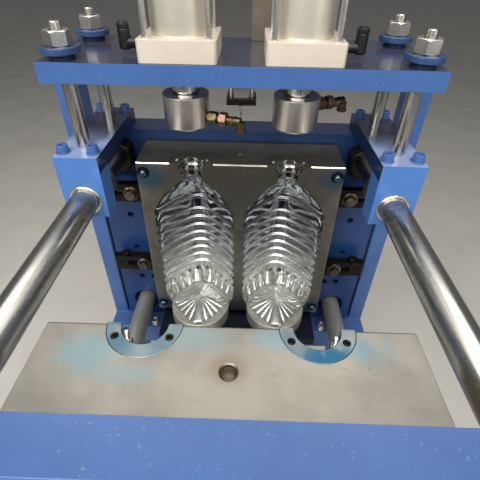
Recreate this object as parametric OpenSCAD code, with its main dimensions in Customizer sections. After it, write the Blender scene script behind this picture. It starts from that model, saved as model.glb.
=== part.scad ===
/* [Mould] */
// Width of each mould half
mould_w = 343; // [330:1:360]
// Thickness of each mould half, from the parting face to its back
mould_t = 92; // [88:1:110]
// Height of the mould halves below the tops of the base inserts
mould_skirt = 20; // [16:1:30]
// Distance between the two bottle axes
neck_pitch = 160; // [158:1:170]
// Radius of the turned neck rings
neck_ring_r = 35.8; // [32:0.1:38]
// Depth of the neck rings
neck_ring_h = 20; // [16:1:24]
// Radius of the counterbore that holds the collar of the blank
neck_seat_r = 21.6; // [20:0.1:24]
// Depth of that counterbore
neck_seat_d = 11; // [8:1:13]
// Radius of the bore for the thread of the blank
neck_bore_r = 17.8; // [16:0.1:19]
// Radius of the waist below the neck ring
neck_waist_r = 16; // [13:0.5:17]
// Half width of the bottle cavity at the parting face
cavity_r = 72; // [66:0.5:74]
// Width of the flat that cuts each corner of the square bottle
corner_flat = 24; // [16:1:30]
// Number of ribs round the bottle
rib_count = 9; // [7:1:9]
// Distance from the first rib to the second
rib_first_gap = 30; // [24:1:32]
// Distance from rib to rib below the second
rib_pitch = 20; // [17:0.5:20]
// How far a rib stands into the bottle
rib_depth = 4.2; // [2:0.1:6]
// Height of one rib at its foot
rib_w = 9; // [6:0.5:12]
// Depth of the first rib below the mould top
rib_top = 109; // [104:1:111]
// Radius of the guide pins at the mould corners
guide_pin_r = 5; // [4:0.5:6]
// Distance of the guide pins from the mould sides
guide_pin_in = 11; // [10:0.5:14]
// Distance of the upper guide pins below the mould top
guide_pin_down = 18.5; // [16:0.5:24]

/* [Bottle base] */
// Radius of the base insert discs
insert_r = 60.6; // [58:0.1:62]
// Thickness of the base insert discs
insert_t = 30; // [24:1:36]
// Depth of the disc tops below the mould top
insert_down = 338; // [334:1:342]
// Half diagonal of the raised petal form
petal_r = 57; // [50:0.5:57]
// Height of the raised petal form
petal_h = 22; // [14:1:26]
// Depth of the grooves between the petals
petal_groove = 3; // [1:0.5:5]
// Travel of the base plate
base_stroke = 40; // [20:1:40]
// Thickness of the base plate
base_plate_t = 20; // [15:1:25]

/* [Clamping] */
// Travel of the front mould half
mould_travel = 312; // [250:1:330]
// Width of the three big plates
platen_w = 560; // [545:1:566]
// Thickness of the rear plate
rear_platen_t = 50; // [40:1:60]
// Thickness of the moving plate and the end plate
platen_t = 40; // [35:1:50]
// Height of the rear plate above the mould top
platen_over = 18.2; // [14:0.2:22]
// Height of the lift cylinder's shelf above the plate bottoms
shelf_over = 34; // [30:1:50]
// Distance of the tie bars from the middle
tie_x = 230; // [226:0.5:232]
// Depth of the upper tie bars below the mould top
tie_up_down = 27; // [24:0.5:30]
// Height of the lower tie bars above the plate bottoms
tie_low_up = 53; // [45:1:60]
// Radius of the tie bars
tie_r = 20.5; // [18:0.5:22]
// Space between the moving plate and the end plate
rod_space = 353; // [340:1:400]
// Radius of the clamp cylinder barrel
clamp_barrel_r = 72; // [60:1:80]
// Radius of the clamp rod
clamp_rod_r = 25; // [20:1:30]
// Side of the clamp cylinder caps
clamp_cap_w = 160; // [150:1:180]

/* [Bridge] */
// Width of the shoulder plates and of the bearing blocks
shoulder_w = 63; // [60:1:66]
// Distance of the shoulder plates from the middle
shoulder_x = 199.4; // [196:0.1:201]
// Thickness of the shoulder plates
shoulder_t = 25.6; // [20:0.1:32]
// Height of the bearing blocks
block_h = 75; // [68:1:85]
// Length of the bearing blocks along the tie bars
block_l = 35.3; // [30:0.1:45]
// Place of the front columns, measured from the parting face
column_front_y = -32; // [-36:1:-28]
// Place of the rear columns, measured from the parting face
column_rear_y = 86; // [80:1:92]
// Distance of the columns from the middle
column_x = 231; // [229:0.5:233]
// Radius of the columns
column_r = 10; // [8:0.5:12]
// Margin of the shoulder plates beyond the column axes
shoulder_margin = 41.3; // [38:0.1:48]
// Height of the bridge plate underside above the mould top
bridge_z = 140.1; // [135:0.1:165]
// Thickness of the bridge plate
bridge_t = 26.1; // [22:0.1:30]
// Margin of the bridge plate beside the columns
bridge_side = 28; // [26:0.5:36]
// Margin of the bridge plate in front of the front columns
bridge_front = 21.8; // [20:0.1:30]
// Radius of the column washers
washer_r = 24.5; // [20:0.5:26]
// Thickness of the column washers
washer_t = 8; // [5:0.5:10]

/* [Nozzles] */
// Radius of the nozzle sleeves
sleeve_r = 33.5; // [30:0.1:36]
// Height of the nozzle sleeves
sleeve_h = 47.5; // [40:0.5:50]
// Height of the sleeve undersides above the mould top, nozzles raised
sleeve_z = 69; // [66:1:74]
// Radius of the hollow nozzle rods
nozzle_rod_r = 19.5; // [17:0.1:22]
// Travel of the nozzles
nozzle_stroke = 60; // [40:1:60]
// Side of the square cylinder caps
cap_w = 99; // [94:1:104]
// Height of the cylinder caps
cap_h = 27.8; // [24:0.1:34]
// Radius of the cylinder barrels
barrel_r = 39; // [37:0.5:44]
// Length of the cylinder barrels
barrel_l = 120; // [110:1:140]
// Distance between the cylinder tie rods
rod_pitch = 78; // [74:0.5:80]
// Radius of the stretch rods
stretch_r = 6; // [5:0.5:8]
// Travel of the stretch rods
stretch_stroke = 370; // [300:1:372]
// Radius of the stretch cylinder barrels
stretch_barrel_r = 27; // [24:0.5:32]
// Side of the stretch cylinder caps
stretch_cap_w = 66; // [60:1:80]
// Width of the corner cuts on the cylinder caps
cap_chamfer = 3; // [1:0.5:8]

/* [Mould clamps] */
// Length of the strap clamps
strap_l = 112; // [105:1:118]
// Height of the strap clamps
strap_h = 40; // [32:1:44]
// Thickness of the strap clamps
strap_t = 15; // [12:0.5:20]
// Distance of the strap clamps from the plate behind them
strap_gap = 17; // [14:0.5:22]
// How far a strap reaches into the slot in the mould side
strap_bite = 12; // [8:1:16]
// Depth of the upper straps below the mould top
strap_up_down = 100; // [90:1:120]
// Depth of the lower straps below the mould top
strap_low_down = 284; // [260:1:290]

/* [Base frame] */
// Height of the mould top above the floor
mould_top = 1180; // [1150:1:1250]
// Length of the base frame
frame_l = 1500; // [1480:5:1600]
// Place of the rear end of the base frame behind the parting face
frame_rear = 200; // [190:1:240]
// Distance from the middle to the inner faces of the side posts
post_x = 286; // [284:1:290]
// Width of the side posts and frame tubes
post_w = 32; // [28:1:36]
// Depth of the frame tubes
tube_d = 60; // [50:1:80]
// Height of the side posts above the mould top
post_over = 120; // [100:1:130]
// Height of the levelling feet
foot_h = 60; // [50:1:80]
// Radius of the levelling feet
foot_r = 24; // [20:1:28]

/* [Hidden] */
$fn = 64;

blue = "#4f74b4";
dark_blue = "#2f5296";
steel = "#9a9184";
mould_grey = "#8b8779";
chrome = "#b9b7b0";
cap_white = "#ddd6c8";
black_oxide = "#2e2a24";
brass = "#8f7a3a";
zinc = "#8f7350";
aluminium = "#c9c4b6";
valve_grey = "#8d8477";

// Fits and clearances
run_fit = 0.05;
slip = 0.3;
seat = 0.15;
over = 1;

// Depths below the mould top
mould_h = insert_down + mould_skirt;
lift_gap = 12;
shelf_t = 16;
lift_body_z = -insert_down - insert_t - base_plate_t - base_stroke - lift_gap;
platen_under = shelf_over + shelf_t - lift_body_z;
tie_low_down = platen_under - tie_low_up;

// Places along the machine, measured from the parting face of the rear half
y_shift = frame_l / 2 - frame_rear;
open_gap = mould_travel + slip;
front_face = -open_gap;
platen_y = front_face - mould_t - platen_t;
end_plate_y = platen_y - rod_space - platen_t;
platen_z = -platen_under;
moving_up = 10;
moving_z = platen_z + moving_up;
rear_back = mould_t + rear_platen_t;
clamp_z = -(tie_up_down + tie_low_down) / 2;

// Places of the bridge
bridge_w = 2 * (column_x + bridge_side);
shoulder_front = column_front_y - shoulder_margin;
shoulder_l = column_rear_y - column_front_y + 2 * shoulder_margin;
shoulder_top = platen_over + shoulder_t;
bridge_y = column_front_y - bridge_front;
bridge_l = column_rear_y + shoulder_margin - bridge_y;
bridge_top = bridge_z + bridge_t;

// Places of the cylinders above the bridge
barrel_z = bridge_top + cap_h;
upper_cap_z = barrel_z + barrel_l;
stretch_z = upper_cap_z + cap_h;
stretch_cap_h = 25;
stretch_barrel_l = stretch_stroke + 40;
piston_t = 20;

// Mould clamps, along X and Y
strap_y = mould_t - strap_gap - strap_t;
strap_inner = mould_w / 2 - strap_bite;
strap_outer = strap_inner + strap_l;
strap_z = [-strap_up_down, -strap_low_down];

bar_z = [-tie_up_down, -tie_low_down];
pin_z = [-guide_pin_down, guide_pin_down - mould_h];
pin_x = mould_w / 2 - guide_pin_in;
pin_l = 26;
pin_out = 12;

function sgn(side) = side == "left" ? -1 : 1;

// Everything is drawn from the middle of the rear parting face at the mould top
module at_mould() {
  translate([0, y_shift, mould_top]) children();
}

module at_axes() {
  for (s = [-1, 1]) translate([s * neck_pitch / 2, 0, 0]) children();
}

module tie_positions() {
  for (s = [-1, 1], z = bar_z) translate([s * tie_x, 0, z]) children();
}

module column_positions() {
  for (s = [-1, 1], y = [column_front_y, column_rear_y])
    translate([s * column_x, y, 0]) children();
}

// A bar along Y from y0 to y1
module bar_y(r, y0, y1) {
  translate([0, y1, 0]) rotate([90, 0, 0]) cylinder(r = r, h = y1 - y0);
}

// A bar along X from x0 to x1
module bar_x(r, x0, x1) {
  translate([x0, 0, 0]) rotate([0, 90, 0]) cylinder(r = r, h = x1 - x0);
}

// A block given by its lowest and highest corners
module block(a, b) {
  translate(a) cube([b[0] - a[0], b[1] - a[1], b[2] - a[2]]);
}

// A cap screw standing on z = 0, head up, with its washer
module cap_screw(r, len) {
  head_r = 1.6 * r;
  wash = 2;
  difference() {
    union() {
      translate([0, 0, wash]) cylinder(r = head_r, h = 2 * r);
      translate([0, 0, -len]) cylinder(r = r, h = len + wash + r / 2);
      cylinder(r = head_r + 2, h = wash);
    }
    translate([0, 0, wash + r]) cylinder(r = r, h = r + over, $fn = 6);
  }
}

// A hexagon nut or head of the given width across flats
module hexagon(af, h) {
  cylinder(r = af / sqrt(3), h = h, $fn = 6);
}

/* Bottle cavity */

cavity_end = insert_down + 0.6;
full_diag = cavity_r + corner_flat / 2;
shoulder_levels = [
  [neck_ring_h - 1, neck_waist_r, 0],
  [30, neck_waist_r, 0],
  [34, neck_waist_r + 5, 0.1],
  [44, cavity_r * 0.46, 0.3],
  [60, cavity_r * 0.67, 0.6],
  [76, cavity_r * 0.84, 0.85],
  [90, cavity_r * 0.95, 1],
  [99, cavity_r, 1],
];
function rib_at(i) = i == 0 ? rib_top : rib_top + rib_first_gap + (i - 1) * rib_pitch;
rib_levels = [
  for (i = [0:rib_count - 1], k = [0:3])
    let (s = [-0.5, -0.12, 0.12, 0.5][k])
      [rib_at(i) + s * rib_w, cavity_r - (k == 1 || k == 2 ? rib_depth : 0), 1]
];
foot_levels = [
  [rib_at(rib_count - 1) + rib_w, cavity_r - 0.5, 1],
  [insert_down - 25, cavity_r - 2, 1],
  [insert_down - 14, cavity_r - 5, 1],
  [insert_down - 5, cavity_r - 9, 0.9],
  [cavity_end, insert_r, 0.7],
];
cavity_levels = concat(shoulder_levels, rib_levels, foot_levels);
flat_angle = atan2(corner_flat / 2, cavity_r);
cavity_angles = [
  0, flat_angle, 27, 45, 63, 90 - flat_angle,
  90 + flat_angle, 117, 135, 153, 180 - flat_angle, 180,
];

function corner_radius(a, w) = min(
  w / max(abs(cos(a)), 0.001),
  w / max(abs(sin(a)), 0.001),
  w * full_diag / cavity_r / (abs(cos(a)) + abs(sin(a)))
);

function cavity_ring(level) = let (z = -level[0], w = level[1], b = level[2]) concat(
  [for (a = cavity_angles)
    let (r = (1 - b) * w + b * corner_radius(a, w)) [r * cos(a), r * sin(a), z]],
  [[-w, -over, z], [w, -over, z]]
);

// The half cavity behind the parting face, lofted through its levels
module half_cavity() {
  n = len(cavity_angles) + 2;
  m = len(cavity_levels);
  pts = [for (level = cavity_levels) each cavity_ring(level)];
  sides = [
    for (i = [0:m - 2], j = [0:n - 1])
      let (a = i * n + j, b = i * n + (j + 1) % n)
        each [[a, b, b + n], [a, b + n, a + n]]
  ];
  caps = [[for (j = [n - 1:-1:0]) j], [for (j = [0:n - 1]) (m - 1) * n + j]];
  polyhedron(points = pts, faces = concat(sides, caps), convexity = 10);
}

// Threaded hole for lifting a half
thread_r = 6.8;
thread_l = 30;

// One mould half with its back at +Y and its parting face at y = 0
module mould_half_body(pin_bore) {
  hw = mould_w / 2;
  difference() {
    block([-hw, 0, -mould_h], [hw, mould_t, 0]);
    at_axes() {
      translate([0, 0, -neck_ring_h]) cylinder(r = neck_ring_r + seat, h = neck_ring_h + over);
      for (s = [-1, 1]) ring_screw_at(s)
        translate([0, 0, -ring_screw_l - slip]) cylinder(r = ring_screw_r, h = ring_screw_l);
      half_cavity();
      translate([0, 0, -mould_h - over])
        cylinder(r = insert_r + slip, h = mould_h + over - insert_down + slip);
    }
    for (s = [-1, 1], z = pin_z)
      translate([s * pin_x, 0, z]) bar_y(pin_bore, -over, pin_l + slip);
    translate([0, mould_t / 2, -thread_l]) cylinder(r = thread_r, h = thread_l + over);
    for (s = [-1, 1], z = strap_z)
      translate([s * hw, 0, z - strap_h / 2 - seat])
        block([-strap_bite - seat, strap_y - seat, 0],
              [strap_bite, strap_y + strap_t + seat, strap_h + 2 * seat]);
  }
}

// Half of a neck ring, seated flush with the mould top
module neck_ring_half() {
  difference() {
    translate([0, 0, -neck_ring_h])
      rotate_extrude(angle = 180)
        translate([neck_bore_r, 0]) square([neck_ring_r - neck_bore_r, neck_ring_h]);
    translate([0, 0, -neck_seat_d]) cylinder(r = neck_seat_r, h = neck_seat_d + over);
    for (s = [-1, 1]) ring_screw_at(s) {
      translate([0, 0, -ring_head_h - seat]) cylinder(r = ring_head_r + seat, h = ring_head_h + over);
      translate([0, 0, -neck_ring_h - over]) cylinder(r = ring_screw_r + seat, h = neck_ring_h + over);
    }
  }
}

ring_screw_r = 2;
ring_head_r = 3.6;
ring_head_h = 4;
ring_socket_r = 1.7;
ring_socket_d = 2;
ring_screw_l = neck_ring_h + 9;
ring_screw_turn = 60;
screw_circle = (neck_seat_r + neck_ring_r) / 2;

module ring_screw_at(s) {
  rotate([0, 0, 90 - s * ring_screw_turn]) translate([screw_circle, 0, 0]) children();
}

module ring_screw() {
  difference() {
    union() {
      translate([0, 0, -ring_head_h]) cylinder(r = ring_head_r, h = ring_head_h);
      translate([0, 0, -ring_screw_l]) cylinder(r = ring_screw_r, h = ring_screw_l);
    }
    translate([0, 0, -ring_socket_d]) cylinder(r = ring_socket_r, h = ring_socket_d + over, $fn = 6);
  }
}

// Turns a piece of the rear half into its twin on the front half
module front_twin() {
  translate([0, front_face, 0]) mirror([0, 1, 0]) children();
}

module rear_mould_half() {
  color(mould_grey) at_mould() mould_half_body(guide_pin_r);
}

module front_mould_half() {
  color(mould_grey) at_mould() front_twin() mould_half_body(bush_r);
}

module rear_neck_rings() {
  color(steel) at_mould() at_axes() neck_ring_half();
}

module front_neck_rings() {
  color(steel) at_mould() front_twin() at_axes() neck_ring_half();
}

module rear_ring_screws() {
  color(chrome) at_mould() at_axes() for (s = [-1, 1]) ring_screw_at(s) ring_screw();
}

module front_ring_screws() {
  color(black_oxide) at_mould() front_twin() at_axes()
    for (s = [-1, 1]) ring_screw_at(s) ring_screw();
}

bush_r = guide_pin_r + 3;
pin_nose_l = 3;
pin_nose_r = guide_pin_r - 2;

module guide_pins() {
  color(chrome) at_mould()
    for (s = [-1, 1], z = pin_z) translate([s * pin_x, 0, z])
      rotate([90, 0, 0]) rotate_extrude()
        polygon([[0, -pin_l], [guide_pin_r, -pin_l], [guide_pin_r, pin_out - pin_nose_l],
                 [pin_nose_r, pin_out], [0, pin_out]]);
}

module guide_bushes() {
  color(zinc) at_mould() front_twin()
    for (s = [-1, 1], z = pin_z) translate([s * pin_x, 0, z])
      difference() {
        bar_y(bush_r, 0, pin_l);
        bar_y(guide_pin_r + run_fit, -over, pin_l + over);
      }
}

/* Mould clamps */

strap_bolt_r = 6;
strap_bolt_in = 36;
strap_slot_l = 30;
bolt_flange_r = 13;
bolt_flange_t = 3;
bolt_head_af = 19;
bolt_head_h = 9;
jack_r = 6;
jack_in = 12;
jack_out = 2;
jack_foot_r = 10;
jack_foot_h = 6;

// One strap clamp on the right, with its bolt slot and jack screw hole
module strap(z) {
  bolt_x = strap_inner + strap_bolt_in;
  difference() {
    block([strap_inner, strap_y, z - strap_h / 2], [strap_outer, strap_y + strap_t, z + strap_h / 2]);
    for (x = [bolt_x, bolt_x + strap_slot_l])
      translate([x, 0, z]) bar_y(strap_bolt_r + slip, strap_y - over, strap_y + strap_t + over);
    block([bolt_x, strap_y - over, z - strap_bolt_r - slip],
          [bolt_x + strap_slot_l, strap_y + strap_t + over, z + strap_bolt_r + slip]);
    translate([strap_outer - jack_in, 0, z])
      bar_y(jack_r + seat, strap_y - over, strap_y + strap_t + over);
  }
}

module straps() {
  for (z = strap_z) {
    strap(z);
    mirror([1, 0, 0]) strap(z);
  }
}

module strap_bolts() {
  for (s = [-1, 1], z = strap_z)
    translate([s * (strap_inner + strap_bolt_in), strap_y, z]) rotate([90, 0, 0]) {
      cylinder(r = bolt_flange_r, h = bolt_flange_t);
      translate([0, 0, bolt_flange_t]) hexagon(bolt_head_af, bolt_head_h);
      translate([0, 0, -strap_t - strap_gap])
        cylinder(r = strap_bolt_r, h = strap_t + strap_gap + bolt_flange_t);
    }
}

module jacks() {
  for (s = [-1, 1], z = strap_z)
    translate([s * (strap_outer - jack_in), strap_y, z]) rotate([90, 0, 0])
      translate([0, 0, -strap_t - strap_gap]) {
        cylinder(r = jack_r, h = strap_t + strap_gap + jack_out);
        cylinder(r = jack_foot_r, h = jack_foot_h);
      }
}

module rear_mould_clamps() {
  color(black_oxide) at_mould() straps();
}

module rear_clamp_bolts() {
  color(zinc) at_mould() strap_bolts();
}

module jack_screws() {
  color(black_oxide) at_mould() jacks();
}

module front_mould_clamps() {
  color(black_oxide) at_mould() front_twin() {
    straps();
    jacks();
  }
}

module front_clamp_bolts() {
  color(zinc) at_mould() front_twin() strap_bolts();
}

/* Plates and tie bars */

module big_plate(y, t, z0, z1, bar_hole) {
  hw = platen_w / 2;
  difference() {
    block([-hw, y, z0], [hw, y + t, z1]);
    tie_positions() bar_y(bar_hole, y - over, y + t + over);
    children();
  }
}

// Tapped holes in the rear plate: three rows, and an inner pair in the lowest row
row_z = [-174, -265, -356];
plate_hole_r = 7;
plate_hole_d = 30;
inner_hole_dx = 28;
low_recess_r = 31;
low_recess_d = 20;

module rear_platen() {
  color(dark_blue) at_mould()
    big_plate(mould_t, rear_platen_t, platen_z, platen_over, tie_r) {
      for (s = [-1, 1], z = row_z) translate([s * tie_x, 0, z])
        bar_y(plate_hole_r, mould_t - over, mould_t + plate_hole_d);
      for (s = [-1, 1]) translate([s * (tie_x - inner_hole_dx), 0, row_z[2]])
        bar_y(plate_hole_r, mould_t - over, mould_t + plate_hole_d);
      for (s = [-1, 1]) translate([s * tie_x, 0, -tie_low_down])
        bar_y(low_recess_r, mould_t - over, mould_t + low_recess_d);
    }
}

bush_wall = 8;
bush_flange = 8;
bush_flange_w = 9;
rod_stud_r = clamp_rod_r / 2;
rod_stud_l = 24;

module moving_platen() {
  color(blue) at_mould()
    big_plate(platen_y, platen_t, moving_z, platen_over, tie_r + bush_wall + seat)
      translate([0, 0, clamp_z]) bar_y(rod_stud_r + seat, platen_y - over, platen_y + rod_stud_l + over);
}

module platen_bushes() {
  color(zinc) at_mould() tie_positions() difference() {
    union() {
      bar_y(tie_r + bush_wall, platen_y - bush_flange, platen_y + platen_t);
      bar_y(tie_r + bush_wall + bush_flange_w, platen_y - bush_flange, platen_y);
    }
    bar_y(tie_r + run_fit, platen_y - bush_flange - over, platen_y + platen_t + over);
  }
}

module front_end_plate() {
  color(blue) at_mould()
    big_plate(end_plate_y, platen_t, platen_z, platen_over, tie_r)
      translate([0, 0, clamp_z])
        bar_y(clamp_rod_r + rod_clear, end_plate_y - over, end_plate_y + platen_t + over);
}

rod_clear = 6;
nut_t = 34;
nut_af = 65;
nut_washer_t = 6;
nut_washer_w = 4;
bar_end = 12;
bar_front = end_plate_y - nut_washer_t - nut_t - bar_end;
bar_rear = rear_back + nut_washer_t + nut_t + bar_end;

module upper_tie_bars() {
  color(chrome) at_mould() for (s = [-1, 1])
    translate([s * tie_x, 0, -tie_up_down]) bar_y(tie_r, bar_front, bar_rear);
}

module lower_tie_bars() {
  color(chrome) at_mould() for (s = [-1, 1])
    translate([s * tie_x, 0, -tie_low_down]) bar_y(tie_r, bar_front, bar_rear);
}

module tie_nut() {
  difference() {
    union() {
      cylinder(r = nut_af / 2 + nut_washer_w, h = nut_washer_t);
      translate([0, 0, nut_washer_t]) hexagon(nut_af, nut_t);
    }
    translate([0, 0, -over]) cylinder(r = tie_r, h = nut_t + nut_washer_t + 2 * over);
  }
}

module tie_bar_nuts() {
  color(zinc) at_mould() tie_positions() {
    translate([0, end_plate_y, 0]) rotate([90, 0, 0]) tie_nut();
    translate([0, rear_back, 0]) rotate([-90, 0, 0]) tie_nut();
  }
}

block_bush_r = 24.5;
collar_r = 29;
collar_l = 24;
bush_out = 3;

module block_bushes() {
  color(steel) at_mould() for (s = [-1, 1]) translate([s * tie_x, 0, -tie_up_down])
    difference() {
      union() {
        bar_y(block_bush_r, shoulder_front - bush_out, shoulder_front + block_l);
        bar_y(collar_r, shoulder_front + block_l, shoulder_front + block_l + collar_l);
      }
      bar_y(tie_r, shoulder_front - bush_out - over, shoulder_front + block_l + collar_l + over);
    }
}

module bearing_block(s) {
  x0 = shoulder_x;
  x1 = shoulder_x + shoulder_w;
  difference() {
    mirror([s < 0 ? 1 : 0, 0, 0])
      block([x0, shoulder_front, platen_over - block_h],
            [x1, shoulder_front + block_l, platen_over]);
    translate([s * tie_x, 0, -tie_up_down])
      bar_y(block_bush_r, shoulder_front - over, shoulder_front + block_l + over);
    shoulder_screw_at(s, [0]) translate([0, 0, -screw_len]) cylinder(r = screw_r, h = screw_len + over);
  }
}

module left_bearing_block() {
  color(blue) at_mould() bearing_block(-1);
}

module right_bearing_block() {
  color(blue) at_mould() bearing_block(1);
}

screw_r = 5;
screw_dx = 21.5;
screw_dy = 24;
screw_len = shoulder_t + 12;
screw_y = [column_front_y - screw_dy, column_rear_y + screw_dy];

// Screw places on one shoulder plate: end 0 is the front pair, end 1 the rear pair
module shoulder_screw_at(s, ends) {
  for (e = ends, dx = [-screw_dx, screw_dx])
    translate([s * column_x + dx, screw_y[e], shoulder_top]) children();
}

module shoulder_plate(s) {
  difference() {
    mirror([s < 0 ? 1 : 0, 0, 0])
      block([shoulder_x, shoulder_front, platen_over],
            [shoulder_x + shoulder_w, shoulder_front + shoulder_l, shoulder_top]);
    for (y = [column_front_y, column_rear_y])
      translate([s * column_x, y, shoulder_top - column_seat])
        cylinder(r = column_r, h = column_seat + over);
    shoulder_screw_at(s, [0, 1]) translate([0, 0, -screw_len]) cylinder(r = screw_r, h = screw_len + over);
  }
}

column_seat = 15;

module left_shoulder_plate() {
  color(blue) at_mould() shoulder_plate(-1);
}

module right_shoulder_plate() {
  color(blue) at_mould() shoulder_plate(1);
}

module shoulder_screws() {
  color(blue) at_mould() for (s = [-1, 1]) {
    shoulder_screw_at(s, [0]) cap_screw(screw_r, screw_len);
    shoulder_screw_at(s, [1]) cap_screw(screw_r, shoulder_t);
  }
}

/* Columns and bridge */

washer_step = 8;
washer_step_w = 4;
column_neck_r = column_r - 2;
column_nut_h = 18;
column_nut_af = 30;
column_out = 10;
column_top = bridge_top + washer_step + washer_t + column_nut_h + column_out;

module columns() {
  color(chrome) at_mould() column_positions() {
    translate([0, 0, shoulder_top - column_seat])
      cylinder(r = column_r, h = bridge_z - shoulder_top + column_seat);
    translate([0, 0, bridge_z - over]) cylinder(r = column_neck_r, h = column_top - bridge_z + over);
  }
}

module column_washers() {
  color(blue) at_mould() column_positions() translate([0, 0, bridge_top]) difference() {
    union() {
      cylinder(r = washer_r - washer_step_w, h = washer_step);
      translate([0, 0, washer_step]) cylinder(r = washer_r, h = washer_t);
    }
    translate([0, 0, -over]) cylinder(r = column_neck_r, h = washer_step + washer_t + 2 * over);
  }
}

module column_nuts() {
  color(chrome) at_mould() column_positions()
    translate([0, 0, bridge_top + washer_step + washer_t]) difference() {
      hexagon(column_nut_af, column_nut_h);
      translate([0, 0, -over]) cylinder(r = column_neck_r, h = column_nut_h + 2 * over);
    }
}

module bridge_plate() {
  color(blue) at_mould() difference() {
    block([-bridge_w / 2, bridge_y, bridge_z], [bridge_w / 2, bridge_y + bridge_l, bridge_top]);
    translate([0, 0, bridge_z - over]) {
      column_positions() cylinder(r = column_neck_r, h = bridge_t + 2 * over);
      at_axes() cylinder(r = nozzle_rod_r + nozzle_clear, h = bridge_t + 2 * over);
    }
  }
}

/* Nozzle cylinders */

nozzle_clear = 2;
barrel_wall = 3;
cyl_rod_r = 4;
cyl_rod_out = 9;
cyl_nut_af = 13;
cyl_nut_h = 6;

// Square plate with its four corners cut at 45 degrees
module cap_plate(w, h) {
  linear_extrude(h) difference() {
    square(w, center = true);
    for (a = [0:90:270]) rotate(a)
      translate([w / 2, w / 2]) rotate(45) square(cap_chamfer * sqrt(2), center = true);
  }
}

module square_cap(w, h, bore, rods) {
  difference() {
    cap_plate(w, h);
    translate([0, 0, -over]) cylinder(r = bore, h = h + 2 * over);
    if (rods > 0)
      for (x = [-1, 1], y = [-1, 1]) translate([x * rods / 2, y * rods / 2, -over])
        cylinder(r = cyl_rod_r, h = h + 2 * over);
  }
}

module lower_cap(side) {
  color(cap_white) at_mould() translate([sgn(side) * neck_pitch / 2, 0, bridge_top])
    square_cap(cap_w, cap_h, nozzle_rod_r + run_fit, rod_pitch);
}

module barrel(side) {
  color(cap_white) at_mould() translate([sgn(side) * neck_pitch / 2, 0, barrel_z]) difference() {
    cylinder(r = barrel_r, h = barrel_l);
    translate([0, 0, -over]) cylinder(r = barrel_r - barrel_wall, h = barrel_l + 2 * over);
  }
}

module upper_cap(side) {
  color(cap_white) at_mould() translate([sgn(side) * neck_pitch / 2, 0, upper_cap_z])
    square_cap(cap_w, cap_h, stretch_r + slip, rod_pitch);
}

module left_lower_cap() {
  lower_cap("left");
}

module right_lower_cap() {
  lower_cap("right");
}

module left_barrel() {
  barrel("left");
}

module right_barrel() {
  barrel("right");
}

module left_upper_cap() {
  upper_cap("left");
}

module right_upper_cap() {
  upper_cap("right");
}

module cylinder_tie_rods() {
  color(chrome) at_mould() at_axes()
    for (x = [-1, 1], y = [-1, 1]) translate([x * rod_pitch / 2, y * rod_pitch / 2, bridge_top]) {
      cylinder(r = cyl_rod_r, h = 2 * cap_h + barrel_l + cyl_rod_out);
      translate([0, 0, 2 * cap_h + barrel_l]) hexagon(cyl_nut_af, cyl_nut_h);
    }
}

elbow_r = 8;
elbow_foot_af = 16;
elbow_foot_l = 8;
elbow_reach = 27;
elbow_h = 34;

// A plain push-in elbow: a hexagon foot along X and a barrel turned up
module cap_elbow() {
  rotate([0, 90, 0]) {
    hexagon(elbow_foot_af, elbow_foot_l);
    cylinder(r = elbow_r - 1, h = elbow_reach);
  }
  translate([elbow_reach, 0, -elbow_r]) cylinder(r = elbow_r, h = elbow_h);
}

module cap_elbows() {
  color(black_oxide) at_mould() for (s = [0, 1], z = [bridge_top, upper_cap_z])
    mirror([s, 0, 0]) translate([(neck_pitch + cap_w) / 2, 0, z + cap_h / 2]) cap_elbow();
}

module stretch_cylinder(side) {
  color(aluminium) at_mould() translate([sgn(side) * neck_pitch / 2, 0, stretch_z]) difference() {
    union() {
      square_cap(stretch_cap_w, stretch_cap_h, stretch_r + run_fit, 0);
      translate([0, 0, stretch_cap_h]) cylinder(r = stretch_barrel_r, h = stretch_barrel_l);
      translate([0, 0, stretch_cap_h + stretch_barrel_l]) cap_plate(stretch_cap_w, stretch_cap_h);
    }
    translate([0, 0, stretch_cap_h]) cylinder(r = stretch_barrel_r - barrel_wall, h = stretch_barrel_l);
  }
}

module left_stretch_cylinder() {
  stretch_cylinder("left");
}

module right_stretch_cylinder() {
  stretch_cylinder("right");
}

/* Nozzles */

rod_bore = stretch_r + 2;
nozzle_piston_t = 16;
nozzle_rod_top = barrel_z + nozzle_stroke + 5;

module nozzle_rod(side) {
  color(chrome) at_mould() translate([sgn(side) * neck_pitch / 2, 0, 0]) difference() {
    union() {
      translate([0, 0, sleeve_z + sleeve_h])
        cylinder(r = nozzle_rod_r, h = nozzle_rod_top - sleeve_z - sleeve_h);
      translate([0, 0, nozzle_rod_top])
        cylinder(r = barrel_r - barrel_wall - run_fit, h = nozzle_piston_t);
    }
    translate([0, 0, sleeve_z - over]) cylinder(r = rod_bore, h = nozzle_rod_top + nozzle_piston_t);
  }
}

module nozzle_sleeve(side) {
  color(steel) at_mould() translate([sgn(side) * neck_pitch / 2, 0, sleeve_z]) difference() {
    cylinder(r = sleeve_r, h = sleeve_h);
    translate([0, 0, -over]) cylinder(r = rod_bore, h = sleeve_h + 2 * over);
    translate([0, 0, -over]) cylinder(r = neck_bore_r, h = sleeve_seat_d + over);
    rotate([0, 0, fitting_turn(side)]) translate([0, 0, fitting_z(side)])
      bar_x(fitting_pipe_r, sleeve_r - fitting_in, sleeve_r + over);
  }
}

sleeve_seat_d = 8;

// Air fitting, along X from the sleeve's face
fitting_pipe_r = 6.5;
fitting_in = 12;
fitting_reach = 50;
first_hex = [1, 17, 14];
second_hex = [18, 18, 12];
fitting_drop = 17;
fitting_drop_r = 6;
fitting_knee_r = 7.5;
fitting_lip_t = 2.5;

function fitting_z(side) = side == "left" ? 14 : 29;

function fitting_turn(side) = side == "left" ? -16 : 25;

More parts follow.
